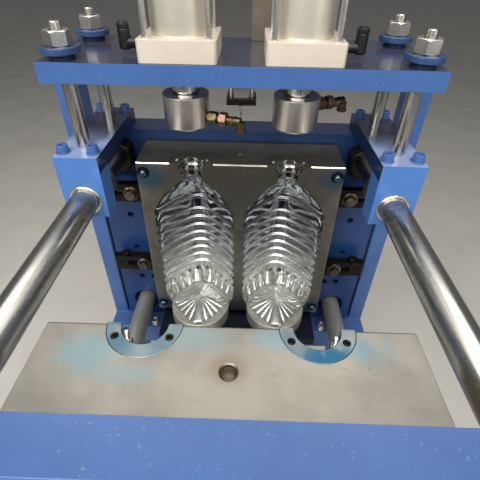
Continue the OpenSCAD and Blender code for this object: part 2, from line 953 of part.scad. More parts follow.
// Adaptor, hexagon and elbow turning down, along +X from the sleeve
module air_fitting(side) {
  color(brass) at_mould() translate([sgn(side) * neck_pitch / 2, 0, sleeve_z + fitting_z(side)])
    rotate([0, 0, fitting_turn(side)]) {
      bar_x(fitting_pipe_r, sleeve_r - fitting_in, sleeve_r + fitting_reach);
      for (h = [first_hex, second_hex])
        translate([sleeve_r + h[0], 0, 0]) rotate([0, 90, 0]) hexagon(h[1], h[2]);
      translate([sleeve_r + fitting_reach, 0, 0]) {
        sphere(r = fitting_knee_r);
        translate([0, 0, -fitting_drop]) cylinder(r = fitting_drop_r, h = fitting_drop);
        translate([0, 0, -fitting_drop]) cylinder(r = fitting_knee_r, h = fitting_lip_t);
      }
    }
}

module left_nozzle_rod() {
  nozzle_rod("left");
}

module right_nozzle_rod() {
  nozzle_rod("right");
}

module left_nozzle_sleeve() {
  nozzle_sleeve("left");
}

module right_nozzle_sleeve() {
  nozzle_sleeve("right");
}

module left_air_fitting() {
  air_fitting("left");
}

module right_air_fitting() {
  air_fitting("right");
}

stretch_tip = sleeve_z + 6;
stretch_over = 10;
stretch_piston_z = stretch_z + stretch_cap_h + stretch_stroke + stretch_over;

module stretch_rod(side) {
  color(chrome) at_mould() translate([sgn(side) * neck_pitch / 2, 0, 0]) {
    translate([0, 0, stretch_tip]) cylinder(r = stretch_r, h = stretch_piston_z - stretch_tip);
    translate([0, 0, stretch_piston_z])
      cylinder(r = stretch_barrel_r - barrel_wall - run_fit, h = piston_t);
    translate([0, 0, stretch_tip]) sphere(r = stretch_r);
  }
}

module left_stretch_rod() {
  stretch_rod("left");
}

module right_stretch_rod() {
  stretch_rod("right");
}

centre_w = 41;
centre_d = 28;
centre_h = 38;
centre_y = 28;
foot_plate_side = 5;
foot_plate_t = 15;
centre_ring_r = 9;
centre_ring_h = 4;
centre_pin_r = 2.5;
centre_pin_h = 11;

// Small cylinder under the bridge between the nozzles
module centre_cylinder() {
  color(aluminium) at_mould() translate([0, centre_y, bridge_z - centre_h]) {
    block([-centre_w / 2, -centre_d / 2, 0], [centre_w / 2, centre_d / 2, centre_h]);
    block([-centre_w / 2 - foot_plate_side, -centre_d / 2 - foot_plate_side, -foot_plate_t],
          [centre_w / 2 + foot_plate_side, centre_d / 2 + foot_plate_side, 0]);
    translate([0, 0, -foot_plate_t - centre_ring_h]) {
      cylinder(r = centre_ring_r, h = centre_ring_h);
      translate([0, 0, -centre_pin_h]) cylinder(r = centre_pin_r, h = centre_pin_h);
    }
  }
}

valve_x = 12;
valve_w = 33;
valve_d = 24;
valve_h = 62;
valve_in = 2;

// Valve block on the rear of the bridge between the cylinders
module valve_block() {
  color(valve_grey) at_mould()
    block([valve_x, bridge_y + bridge_l - valve_d - valve_in, bridge_top],
          [valve_x + valve_w, bridge_y + bridge_l - valve_in, bridge_top + valve_h]);
}

/* Clamp cylinder */

clamp_cap_t = 35;
clamp_dead = 25;
clamp_piston_t = 20;
clamp_barrel_l = mould_travel + 2 * clamp_dead;
clamp_y1 = end_plate_y;
clamp_y0 = clamp_y1 - 2 * clamp_cap_t - clamp_barrel_l;
clamp_rod_pitch = clamp_cap_w - 34;
clamp_wall = 7;
clamp_screw_r = 7;
clamp_nut_af = 22;
clamp_nut_h = 11;
clamp_screw_out = 3;
clamp_piston_y = clamp_y0 + clamp_cap_t + clamp_dead;

module clamp_corners() {
  for (x = [-1, 1], z = [-1, 1])
    translate([x * clamp_rod_pitch / 2, 0, z * clamp_rod_pitch / 2]) children();
}

module clamp_cylinder() {
  color(cap_white) at_mould() translate([0, 0, clamp_z]) difference() {
    union() {
      for (y = [clamp_y0, clamp_y1 - clamp_cap_t])
        block([-clamp_cap_w / 2, y, -clamp_cap_w / 2],
              [clamp_cap_w / 2, y + clamp_cap_t, clamp_cap_w / 2]);
      bar_y(clamp_barrel_r, clamp_y0 + over, clamp_y1 - over);
    }
    bar_y(clamp_barrel_r - clamp_wall, clamp_y0 + clamp_cap_t, clamp_y1 - clamp_cap_t);
    bar_y(clamp_rod_r + run_fit, clamp_y1 - clamp_cap_t - over, clamp_y1 + over);
    clamp_corners() bar_y(clamp_screw_r, clamp_y0 - over, clamp_y1 + over);
  }
}

module clamp_tie_rods() {
  color(chrome) at_mould() translate([0, 0, clamp_z]) clamp_corners() {
    bar_y(clamp_screw_r, clamp_y0 - clamp_nut_h - clamp_screw_out, clamp_y1);
    translate([0, clamp_y0, 0]) rotate([90, 0, 0]) hexagon(clamp_nut_af, clamp_nut_h);
  }
}

module clamp_rod() {
  color(chrome) at_mould() translate([0, 0, clamp_z]) {
    bar_y(clamp_rod_r, clamp_piston_y, platen_y);
    bar_y(rod_stud_r, platen_y, platen_y + rod_stud_l);
    bar_y(clamp_barrel_r - clamp_wall - run_fit, clamp_piston_y - clamp_piston_t, clamp_piston_y);
  }
}

/* Bottle base plate */

plate_z = -insert_down - insert_t;
base_plate_z = plate_z - base_plate_t;
guide_rod_r = 8;
guide_rod_in = 11;
guide_x = neck_pitch / 2;
lift_rod_r = 8;
lift_rod_in = 30;
lift_body_r = 25;
lift_body_l = 86;
lift_bore_l = 80;
shelf_x = neck_pitch / 2 + 30;
shelf_front = -40;
base_plate_in = 10;

// Grooves round a quarter of a petal form: half a broad petal, three narrow ones, half a broad one
petal_grooves = [0, 0, 0.3, 1, 0.2, 0.2, 1, 0.3, 0, 0.3, 1, 0.2, 0.2, 1, 0.3, 0];
petal_steps = len(petal_grooves);
petal_angles = [
  for (q = [0:3], i = [0:petal_steps - 1]) [90 * (q + i / petal_steps), petal_grooves[i]]
];

// Square on its corner, with the corners rounded by the disc's own radius
petal_square = 1.16;

module petal_form() {
  n = len(petal_angles);
  rings = [1, 0.86, 0.62, 0.36, 0.12];
  function outline(a) = petal_r * min(1, petal_square / (abs(cos(a)) + abs(sin(a))));
  function lift(u, groove) = petal_h * (1 - 0.82 * u * u) - petal_groove * groove * u;
  pts = concat(
    [for (p = petal_angles) [outline(p[0]) * cos(p[0]), outline(p[0]) * sin(p[0]), -over]],
    [for (u = rings, p = petal_angles)
      [u * outline(p[0]) * cos(p[0]), u * outline(p[0]) * sin(p[0]), lift(u, p[1])]],
    [[0, 0, petal_h]]
  );
  m = len(rings) + 1;
  sides = [
    for (i = [0:m - 2], j = [0:n - 1])
      let (a = i * n + j, b = i * n + (j + 1) % n)
        each [[a, b + n, b], [a, a + n, b + n]]
  ];
  top = [for (j = [0:n - 1]) [(m - 1) * n + j, m * n, (m - 1) * n + (j + 1) % n]];
  polyhedron(points = pts, faces = concat(sides, top, [[for (j = [0:n - 1]) j]]), convexity = 6);
}

module base_inserts() {
  color(aluminium) at_mould() at_axes() union() {
    translate([0, 0, plate_z]) cylinder(r = insert_r, h = insert_t);
    translate([0, 0, -insert_down]) petal_form();
  }
}

module base_plate() {
  color(steel) at_mould() difference() {
    block([-mould_w / 2 + base_plate_in, -insert_r, base_plate_z],
          [mould_w / 2 - base_plate_in, insert_r, plate_z]);
    for (s = [-1, 1]) translate([s * guide_x, 0, base_plate_z - over])
      cylinder(r = guide_rod_r, h = guide_rod_in + over);
  }
}

guide_rod_l = base_stroke + lift_gap + shelf_t + 42;

module base_guide_rods() {
  color(chrome) at_mould() {
    for (s = [-1, 1]) translate([s * guide_x, 0, base_plate_z - guide_rod_l])
      cylinder(r = guide_rod_r, h = guide_rod_l + guide_rod_in);
    translate([0, 0, lift_body_z - lift_rod_in])
      cylinder(r = lift_rod_r, h = base_plate_z - lift_body_z + lift_rod_in);
  }
}

module base_lift_cylinder() {
  color(dark_blue) at_mould() {
    difference() {
      union() {
        block([-shelf_x, shelf_front, lift_body_z - shelf_t], [shelf_x, mould_t, lift_body_z]);
        translate([0, 0, lift_body_z - shelf_t - lift_body_l])
          cylinder(r = lift_body_r, h = lift_body_l + over);
      }
      translate([0, 0, lift_body_z - lift_bore_l])
        cylinder(r = lift_rod_r + run_fit, h = lift_bore_l + over);
      for (s = [-1, 1]) translate([s * guide_x, 0, lift_body_z - shelf_t - over])
        cylinder(r = guide_rod_r + run_fit, h = shelf_t + 2 * over);
    }
  }
}

/* Base frame */

frame_y0 = -frame_l / 2;
frame_top = mould_top + platen_z;
post_top = mould_top + post_over;
post_y = mould_t + y_shift;
side_x = post_x + post_w;
leg_ys = [frame_y0, -tube_d / 2, frame_l / 2 - tube_d];
low_rail_z = foot_h + 60;
beam_margin = 10;
rear_beam_y = mould_t + y_shift - 45;

module base_frame() {
  color(blue) {
    for (s = [0, 1]) mirror([s, 0, 0]) {
      block([post_x, frame_y0, frame_top - tube_d], [side_x, frame_l / 2, frame_top]);
      block([post_x, frame_y0, low_rail_z], [side_x, frame_l / 2, low_rail_z + tube_d]);
      for (y = leg_ys) block([post_x, y, foot_h], [side_x, y + tube_d, frame_top]);
      block([post_x, post_y, frame_top - over], [side_x, post_y + tube_d, post_top]);
    }
    for (y = [frame_y0, frame_l / 2 - tube_d], z = [frame_top - tube_d, low_rail_z])
      block([-post_x - over, y, z], [post_x + over, y + tube_d, z + tube_d]);
    block([-post_x - over, end_plate_y + y_shift - beam_margin, frame_top - tube_d],
          [post_x + over, end_plate_y + y_shift + platen_t + beam_margin, frame_top]);
    block([-post_x - over, rear_beam_y, frame_top - tube_d],
          [post_x + over, rear_back + y_shift + beam_margin / 2, frame_top]);
  }
}

frame_bolt_dx = 21;
frame_bolt_dy = 15;

// Cap screws on the rear cross beam, one inside each lower tie bar
module frame_bolts() {
  color(chrome) for (s = [-1, 1])
    translate([s * (tie_x - frame_bolt_dx), rear_beam_y + frame_bolt_dy, frame_top]) cap_screw(6, 0);
}

foot_plate_h = 12;
foot_stem_r = 8;
foot_nut_af = 24;

module levelling_feet() {
  color(black_oxide) for (s = [-1, 1], y = leg_ys)
    translate([s * (post_x + post_w / 2), y + tube_d / 2, 0]) {
      cylinder(r = foot_r, h = foot_plate_h);
      cylinder(r = foot_stem_r, h = foot_h);
      translate([0, 0, foot_h - foot_plate_h]) hexagon(foot_nut_af, foot_plate_h);
    }
}

base_frame();
levelling_feet();
rear_platen();
left_bearing_block();
right_bearing_block();
left_shoulder_plate();
right_shoulder_plate();
shoulder_screws();
upper_tie_bars();
lower_tie_bars();
tie_bar_nuts();
block_bushes();
front_end_plate();
clamp_cylinder();
clamp_tie_rods();
columns();
column_washers();
column_nuts();
bridge_plate();
left_lower_cap();
right_lower_cap();
left_barrel();
right_barrel();
left_upper_cap();
right_upper_cap();
cylinder_tie_rods();
cap_elbows();
left_stretch_cylinder();
right_stretch_cylinder();
rear_mould_half();
rear_neck_rings();
rear_ring_screws();
guide_pins();
rear_mould_clamps();
rear_clamp_bolts();
jack_screws();
centre_cylinder();
valve_block();
base_lift_cylinder();
moving_platen();
platen_bushes();
front_mould_half();
front_neck_rings();
front_ring_screws();
guide_bushes();
front_mould_clamps();
front_clamp_bolts();
clamp_rod();
left_nozzle_rod();
left_nozzle_sleeve();
left_air_fitting();
right_nozzle_rod();
right_nozzle_sleeve();
right_air_fitting();
left_stretch_rod();
right_stretch_rod();
base_plate();
base_inserts();
base_guide_rods();
frame_bolts();
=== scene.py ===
"""Dresses a two-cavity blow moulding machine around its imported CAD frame.

Sizes are in millimetres, measured from the datum: the middle of the rear mould half's
parting face, at the mould top. X runs right, Y runs away from the viewer and Z runs up.
"""

import logging
import math
from dataclasses import dataclass
from enum import Enum
from typing import Callable, Optional, Sequence

import bpy
from mathutils import Euler, Matrix, Vector


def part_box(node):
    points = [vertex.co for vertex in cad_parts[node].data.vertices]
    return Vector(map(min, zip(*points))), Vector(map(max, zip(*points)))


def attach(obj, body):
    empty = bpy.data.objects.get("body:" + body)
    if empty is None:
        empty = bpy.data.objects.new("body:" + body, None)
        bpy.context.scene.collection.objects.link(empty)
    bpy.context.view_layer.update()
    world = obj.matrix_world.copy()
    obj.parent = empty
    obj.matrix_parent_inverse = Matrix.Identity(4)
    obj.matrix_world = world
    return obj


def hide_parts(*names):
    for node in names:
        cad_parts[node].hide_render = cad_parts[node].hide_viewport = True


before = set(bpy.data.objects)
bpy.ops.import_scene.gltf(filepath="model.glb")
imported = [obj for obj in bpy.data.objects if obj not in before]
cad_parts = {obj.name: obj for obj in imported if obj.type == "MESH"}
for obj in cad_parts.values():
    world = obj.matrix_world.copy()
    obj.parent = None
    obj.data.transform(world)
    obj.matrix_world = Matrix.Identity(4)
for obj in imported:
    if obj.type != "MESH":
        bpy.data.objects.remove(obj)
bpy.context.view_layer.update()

log = logging.getLogger("machine")
MM = 0.001
DATUM = Vector((0.0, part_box("rear_mould_half")[0].y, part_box("rear_mould_half")[1].z))

Point = Sequence[float]
Ring = tuple[float, float]
Piece = bpy.types.Object
Tree = bpy.types.NodeTree
Socket = bpy.types.NodeSocket
Skin = tuple[Socket, Socket]
Test = Callable[[Vector, Vector], bool]

# What more than one sub-assembly is set out from, in millimetres from the datum.
AXIS_X = 80.0
COLUMN_X = 231.0
BAR_X = 230.0
BAR_RADIUS = 20.5
BAR_LEVELS = (-27.0, -437.0)
STRAP_LEVELS = (-100.0, -284.0)
ROD_PITCH = 78.0
FRAME_BODY = "machine_frame"
CARRIAGE_BODY = "mould_carriage"
BASE_BODY = "bottle_base"
FLIP_X = Matrix.Scale(-1, 4, (1, 0, 0))
FLIP_Y = Matrix.Scale(-1, 4, (0, 1, 0))


class Facing(Enum):
    """Which way a piece points; every piece is made pointing up."""

    UP = (0.0, 0.0, 0.0)
    RIGHT = (0.0, math.pi / 2, 0.0)
    REAR = (-math.pi / 2, 0.0, 0.0)
    FRONT = (math.pi / 2, 0.0, 0.0)

    @property
    def turn(self) -> Matrix:
        """The turn that brings an upright piece to this direction."""
        return Euler(self.value).to_matrix().to_4x4()


class Side(Enum):
    """The two bottle axes, by the sign of their X."""

    LEFT = -1
    RIGHT = 1

    @property
    def word(self) -> str:
        """The side's name as the CAD nodes spell it."""
        return self.name.lower()

    @property
    def x(self) -> float:
        """X of the bottle axis on this side."""
        return self.value * AXIS_X


# ---- bench tools


def at(x: float, y: float, z: float) -> Vector:
    """Turns a place in millimetres from the datum into metres in the shared frame."""
    return DATUM + Vector((x, y, z)) * MM


def span(node: str) -> tuple[Vector, Vector]:
    """Gives a CAD node's lowest and highest corners in millimetres from the datum."""
    low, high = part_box(node)
    return (low - DATUM) / MM, (high - DATUM) / MM


def clear_bench() -> None:
    """Leaves edit mode and deselects everything."""
    if bpy.context.mode != "OBJECT":
        bpy.ops.object.mode_set(mode="OBJECT")
    bpy.ops.object.select_all(action="DESELECT")


def take(piece: Piece) -> None:
    """Makes one piece the only selected and active one.

    Args:
        piece: The piece to select.
    """
    clear_bench()
    piece.select_set(True)
    bpy.context.view_layer.objects.active = piece


def added(name: str, data: bpy.types.ID) -> Piece:
    """Adds an object to the scene.

    Args:
        name: Its name.
        data: Its mesh, lamp or camera.

    Returns:
        The object.
    """
    piece = bpy.data.objects.new(name, data)
    bpy.context.scene.collection.objects.link(piece)
    return piece


def edit_whole(piece: Piece) -> None:
    """Takes a piece into edit mode with all of it selected.

    Args:
        piece: The piece to edit.
    """
    take(piece)
    bpy.ops.object.mode_set(mode="EDIT")
    bpy.ops.mesh.select_all(action="SELECT")


def work(piece: Piece, kind: str, **settings: object) -> None:
    """Gives a piece a modifier with its settings and applies it.

    Args:
        piece: The piece to work.
        kind: Blender's name for the modifier type.
        **settings: The modifier's own properties.
    """
    take(piece)
    bpy.ops.object.modifier_add(type=kind)
    step = piece.modifiers[-1]
    for key, value in settings.items():
        setattr(step, key, value)
    bpy.ops.object.modifier_apply(modifier=step.name)


def settle(piece: Piece, name: str) -> Piece:
    """Puts a piece's place and turn into its mesh and names it.

    Args:
        piece: The object to settle.
        name: Its name from now on.

    Returns:
        The same object, sitting at the origin.
    """
    take(piece)
    bpy.ops.object.transform_apply(location=True, rotation=True, scale=True)
    piece.name = name
    piece.data.name = name
    return piece


def mend_skin(piece: Piece) -> None:
    """Merges doubled points and turns all faces outwards.

    Args:
        piece: The piece to mend.
    """
    edit_whole(piece)
    bpy.ops.mesh.remove_doubles(threshold=0.002 * MM)
    bpy.ops.mesh.normals_make_consistent(inside=False)
    bpy.ops.object.mode_set(mode="OBJECT")


def slab(name: str, low: Point, high: Point) -> Piece:
    """Makes a rectangular block.

    Args:
        name: Name of the piece.
        low: Its lowest corner.
        high: Its highest corner.

    Returns:
        The block.
    """
    clear_bench()
    middle = [(a + b) / 2 for a, b in zip(low, high)]
    bpy.ops.mesh.primitive_cube_add(size=1, location=at(*middle))
    piece = bpy.context.object
    piece.scale = [(b - a) * MM for a, b in zip(low, high)]
    return settle(piece, name)


def turned(
    name: str,
    rings: Sequence[Ring],
    foot: Point = (0, 0, 0),
    facing: Facing = Facing.UP,
    sides: int = 64,
) -> Piece:
    """Makes a turned piece: a circle is extruded from ring to ring of its profile.

    Args:
        name: Name of the piece.
        rings: Radius and height of each ring, from the foot up. Where
            the last ring is the first one again, the piece is hollow.
        foot: Place of the piece's foot.
        facing: The way that the piece points.
        sides: Number of sides of the circle.

    Returns:
        The turned piece.
    """
    clear_bench()
    radius, height = rings[0]
    bpy.ops.mesh.primitive_circle_add(vertices=sides, radius=radius * MM, fill_type="NOTHING")
    piece = bpy.context.object
    edit_whole(piece)
    bpy.ops.transform.translate(value=(0, 0, height * MM))
    for next_radius, next_height in rings[1:]:
        rise = (0, 0, (next_height - height) * MM)
        bpy.ops.mesh.extrude_edges_move(TRANSFORM_OT_translate={"value": rise})
        share = next_radius / radius
        if share != 1:
            middle = (0, 0, next_height * MM)
            bpy.ops.transform.resize(value=(share, share, 1), center_override=middle)
        radius, height = next_radius, next_height
    if tuple(rings[0]) != tuple(rings[-1]):
        bpy.ops.mesh.select_all(action="SELECT")
        bpy.ops.mesh.fill_holes(sides=0)
    bpy.ops.object.mode_set(mode="OBJECT")
    mend_skin(piece)
    piece.matrix_world = Matrix.Translation(at(*foot)) @ facing.turn
    return settle(piece, name)


def rod(
    name: str,
    radius: float,
    foot: Point,
    length: float,
    facing: Facing = Facing.UP,
    sides: int = 64,
) -> Piece:
    """Makes a plain round bar from its foot along its direction."""
    return turned(name, [(radius, 0), (radius, length)], foot, facing, sides)


def stand(piece: Piece, foot: Point, turn: Matrix) -> Piece:
    """Moves a piece that was made at the datum to its place.

    Args:
        piece: The piece, with its foot at the datum.
        foot: Where its foot goes.
        turn: A turn about its foot, done before the move.

    Returns:
        The same piece.
    """
    piece.data.transform(Matrix.Translation(-DATUM))
    piece.data.transform(Matrix.Translation(at(*foot)) @ turn)
    return piece


def combine(piece: Piece, tools: Sequence[Piece], way: str) -> None:
    """Cuts tools out of a piece, or keeps what it shares with them.

    Args:
        piece: The piece that is worked.
        tools: The cutting pieces, which are used up.
        way: DIFFERENCE or INTERSECT.
    """
    for tool in tools:
        work(piece, "BOOLEAN", operation=way, solver="EXACT", object=tool)
        bpy.data.objects.remove(tool)


def cut(piece: Piece, *tools: Piece) -> None:
    """Cuts the tools out of a piece."""
    combine(piece, tools, "DIFFERENCE")


def smooth(piece: Piece, angle: float = 32.0, flat_over: float = 0.0) -> None:
    """Smooths what is nearly flat and keeps faces square to an axis quite flat.

    Args:
        piece: The piece to work.
        angle: Largest angle between faces, in degrees, that is smoothed over.
        flat_over: Faces larger than this many square millimetres stay flat too, or 0.
    """
    take(piece)
    bpy.ops.object.shade_smooth_by_angle(angle=math.radians(angle))
    for face in piece.data.polygons:
        square = max(abs(part) for part in face.normal) > 0.99999
        if square or (flat_over and face.area > flat_over * MM * MM):
            face.use_smooth = False
    work(piece, "WEIGHTED_NORMAL", keep_sharp=True)


def soften(piece: Piece, width: float, steps: int = 2) -> Piece:
    """Breaks the sharp edges of a piece, as a file or a chamfer tool does.

    Args:
        piece: The piece to work.
        width: Width of the broken edge.
        steps: Faces across the edge; one gives a flat chamfer.

    Returns:
        The same piece.
    """
    least = math.radians(34)
    sizes = {"width": width * MM, "segments": steps, "angle_limit": least}
    work(piece, "BEVEL", limit_method="ANGLE", **sizes)
    smooth(piece)
    return piece


def copy_of(
    piece: Piece, name: str, shift: Point = (0, 0, 0), turn: Optional[Matrix] = None
) -> Piece:
    """Copies a piece with a mesh of its own.

    Args:
        piece: The piece to copy.
        name: Name of the copy.
        shift: How far it is moved.
        turn: A turn or mirroring about the datum, done before the shift.

    Returns:
        The copy.
    """
    twin = added(name, piece.data.copy())
    about = Matrix.Translation(DATUM)
    move = Matrix.Translation(Vector(shift) * MM)
    if turn is not None:
        move = move @ about @ turn @ about.inverted()
    twin.data.transform(move)
    if move.to_3x3().determinant() < 0:
        twin.data.flip_normals()
    twin.data.name = name
    return twin


def joined(name: str, pieces: Sequence[Piece]) -> Piece:
    """Joins pieces of one kind into a single object.

    Args:
        name: Name of the whole.
        pieces: The pieces, of which the first takes in the others.

    Returns:
        The first piece, now the whole.
    """
    clear_bench()
    for piece in pieces:
        piece.select_set(True)
    bpy.context.view_layer.objects.active = pieces[0]
    if len(pieces) > 1:
        bpy.ops.object.join()
    pieces[0].name = name
    pieces[0].data.name = name
    return pieces[0]


def spread(
    piece: Piece, name: str, places: Sequence[Point], turns: Sequence[Optional[Matrix]] = ()
) -> Piece:
    """Copies a piece to several places, joins the copies and uses the piece up.

    Args:
        piece: The piece, made once.
        name: Name of the set.
        places: How far each copy is moved.
        turns: The turn of each copy, or nothing where none is turned.

    Returns:
        The set.
    """
    moves = zip(places, turns or [None] * len(places))
    copies = [copy_of(piece, name, place, turn) for place, turn in moves]
    bpy.data.objects.remove(piece)
    return joined(name, copies)


def softened_copy(name: str, node: str, width: float) -> Piece:
    """Copies a CAD node, merges its loose triangles and breaks its edges.

    Args:
        name: Name of the new piece.
        node: The CAD node that has the right shape.
        width: Width of the broken edges.

    Returns:
        The new piece, in the node's place.
    """
    piece = added(name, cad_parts[node].data.copy())
    piece.data.materials.clear()
    take(piece)
    bpy.ops.mesh.customdata_custom_splitnormals_clear()
    edit_whole(piece)
    bpy.ops.mesh.remove_doubles(threshold=0.01 * MM)
    bpy.ops.mesh.dissolve_limited(angle_limit=math.radians(0.4))
    bpy.ops.object.mode_set(mode="OBJECT")
    return soften(piece, width)


def hexagon(
    name: str,
    across: float,
    height: float,
    foot: Point,
    facing: Facing = Facing.UP,
    bore: float = 0.0,
) -> Piece:
    """Makes a hexagon head or nut with its corners turned off at both ends.

    Args:
        name: Name of the piece.
        across: Width across the flats.
        height: Height of the head.
        foot: Middle of its foot.
        facing: The way that it points.
        bore: Radius of the hole through it, or 0 for none.

    Returns:
        The hexagon.
    """
    corner, face = across / math.sqrt(3), across * 0.48
    off, wide = (corner - face) * 0.55, corner + 0.1
    # The blank stands past the barrel at both ends: with level ends the cut varies.
    piece = rod(name, corner, (0, 0, -1), height + 2, sides=6)
    barrel = [(face, 0), (wide, off), (wide, height - off), (face, height)]
    combine(piece, [turned("chamfer_tool", barrel)], "INTERSECT")
    if bore:
        cut(piece, rod("bore_tool", bore, (0, 0, -1), height + 2))
    return stand(soften(piece, 0.25, 1), foot, facing.turn)


def cap_screw(name: str, radius: float, foot: Point, facing: Facing = Facing.UP) -> Piece:
    """Makes a socket cap screw's head, standing on its foot.

    Args:
        name: Name of the piece.
        radius: Radius of the head.
        foot: Middle of the underside of the head.
        facing: The way that the head points.

    Returns:
        The screw head.
    """
    height = 1.25 * radius
    rings = [(radius, 0), (radius, height - 0.6), (radius - 0.6, height)]
    piece = turned(name, rings, sides=48)
    socket = rod("socket_tool", radius * 0.58, (0, 0, height * 0.4), height, sides=6)
    cut(piece, socket)
    return stand(soften(piece, 0.2, 1), foot, facing.turn)


def bevel_edges(piece: Piece, width: float, test: Test) -> None:
    """Bevels only the edges whose two ends pass a test.

    Args:
        piece: The piece to work.
        width: Width of the bevel.
        test: Takes an edge's two ends.
    """
    take(piece)
    bpy.ops.object.mode_set(mode="EDIT")
    bpy.ops.mesh.select_mode(type="EDGE")
    bpy.ops.mesh.select_all(action="DESELECT")
    bpy.ops.object.mode_set(mode="OBJECT")
    for edge in piece.data.edges:
        ends = [(piece.data.vertices[v].co - DATUM) / MM for v in edge.vertices]
        edge.select = test(*ends)
    bpy.ops.object.mode_set(mode="EDIT")
    bpy.ops.mesh.bevel(offset=width * MM, segments=1, affect="EDGES")
    bpy.ops.object.mode_set(mode="OBJECT")


def face_finish(piece: Piece, slot: int, test: Optional[Test] = None) -> None:
    """Gives a piece, or those of its faces that pass a test, another of its finishes.

    Args:
        piece: The piece.
        slot: Number of the finish.
        test: Takes a face's middle, in millimetres from the datum, and its normal.
    """
    for face in piece.data.polygons:
        if test is None or test((face.center - DATUM) / MM, face.normal):
            face.material_index = slot


# ---- finishes


def linear(code: str) -> tuple[float, float, float, float]:
    """Turns an sRGB hex code into the linear colour that shaders take."""
    parts = [int(code[i : i + 2], 16) / 255 for i in (1, 3, 5)]
    return (*(c / 12.92 if c <= 0.04045 else ((c + 0.055) / 1.055) ** 2.4 for c in parts), 1.0)


def add_node(
    tree: Tree,
    kind: str,
    values: Optional[dict] = None,
    links: Optional[dict] = None,
    **settings: object,
) -> bpy.types.Node:
    """Adds a shader node with its settings, its values and what feeds it.

    Args:
        tree: The material's node tree.
        kind: Blender's name for the node type, without ShaderNode.
        values: Socket values by socket name or number.
        links: Feeding sockets by socket name or number.
        **settings: The node's own properties.

    Returns:
        The new node.
    """
    node = tree.nodes.new("ShaderNode" + kind)
    for key, value in settings.items():
        setattr(node, key, value)
    for key, value in (values or {}).items():
        node.inputs[key].default_value = value
    for key, source in (links or {}).items():
        tree.links.new(source, node.inputs[key])
    return node


@dataclass(frozen=True)
class Finish:
    """What all finishes share: a base colour, a second tone and a gloss range.

    Attributes:
        name: Plain name of the material.
        colour: Main colour, sRGB hex.
        tone: Second colour that clouds the first.
        cloud_mm: Size of those clouds.
        cloud: How far the second tone comes through, 0 to 1.
        gloss: Lowest and highest roughness.
        grain_mm: Size of the surface grain along X, Y and Z.
        grain_depth_mm: Depth of the grain.
        metallic: 1 for bare metal, 0 for coatings and plastics.
    """

    name: str
    colour: str
    tone: str
    cloud_mm: float
    cloud: float
    gloss: tuple[float, float]
    grain_mm: tuple[float, float, float]
    grain_depth_mm: float
    metallic: float = 1.0

    def make(self) -> bpy.types.Material:
        """Builds the material, or gives the one already built.

        Returns:
            The Blender material.
        """
        made = bpy.data.materials.get(self.name)
        if made is not None:
            return made
        material = bpy.data.materials.new(self.name)
        material.use_nodes = True
        tree = material.node_tree
        tree.nodes.clear()
        place = add_node(tree, "TexCoord").outputs["Object"]
        shader = add_node(tree, "BsdfPrincipled", {"Metallic": self.metallic})
        add_node(tree, "OutputMaterial", links={"Surface": shader.outputs["BSDF"]})
        size = {"Scale": 1 / (self.cloud_mm * MM), "Detail": 4.0, "Roughness": 0.62}
        clouds = add_node(tree, "TexNoise", size, {"Vector": place}).outputs["Fac"]
        ends = {"From Min": 0.38, "From Max": 0.68, "To Max": self.cloud}
        share = add_node(tree, "MapRange", ends, {"Value": clouds}).outputs["Result"]
        tones = {"A": linear(self.colour), "B": linear(self.tone)}
        parts = {"Factor": share}
        colour = add_node(tree, "Mix", tones, parts, data_type="RGBA").outputs[2]
        size = {"Scale": [1 / (s * MM) for s in self.grain_mm]}
        lines = add_node(tree, "Mapping", size, {"Vector": place}).outputs["Vector"]
        size = {"Scale": 1.0, "Detail": 3.0, "Roughness": 0.6}
        grain = add_node(tree, "TexNoise", size, {"Vector": lines}).outputs["Fac"]
        both = {0: grain, 1: clouds}
        blend = add_node(tree, "Math", links=both, operation="ADD").outputs[0]
        low, high = self.gloss
        ends = {"From Min": 0.7, "From Max": 1.3, "To Min": low, "To Max": high}
        rough = add_node(tree, "MapRange", ends, {"Value": blend}).outputs["Result"]
        depth = {"Strength": 1.0, "Distance": self.grain_depth_mm * MM}
        bump = add_node(tree, "Bump", depth, {"Height": grain}).outputs["Normal"]
        colour, rough = self.over(tree, place, grain, (colour, rough))
        tree.links.new(colour, shader.inputs["Base Color"])
        tree.links.new(rough, shader.inputs["Roughness"])
        tree.links.new(bump, shader.inputs["Normal"])
        return material

    def over(self, tree: Tree, place: Socket, grain: Socket, skin: Skin) -> Skin:
        """Lays nothing more over the surface; finishes with dirt or smears do."""
        return skin


def coated(tree: Tree, mask: Socket, skin: Skin, code: str, gloss: Optional[float] = None) -> Skin:
    """Lays a coat of another colour and gloss over a surface.

    Args:
        tree: The material's node tree.
        mask: How much of the coat shows, 0 to 1.
        skin: Colour and roughness of the surface.
        code: Colour of the coat, sRGB hex.
        gloss: Roughness of the coat, or None where it takes the surface's own.

    Returns:
        Colour and roughness of the coated surface.
    """
    colour, rough = skin
    tint = {"B": linear(code)}
    parts = {"Factor": mask, "A": colour}
    colour = add_node(tree, "Mix", tint, parts, data_type="RGBA").outputs[2]
    if gloss is not None:
        parts = {"Factor": mask, "A": rough}
        rough = add_node(tree, "Mix", {"B": gloss}, parts, data_type="FLOAT").outputs[0]
    return colour, rough


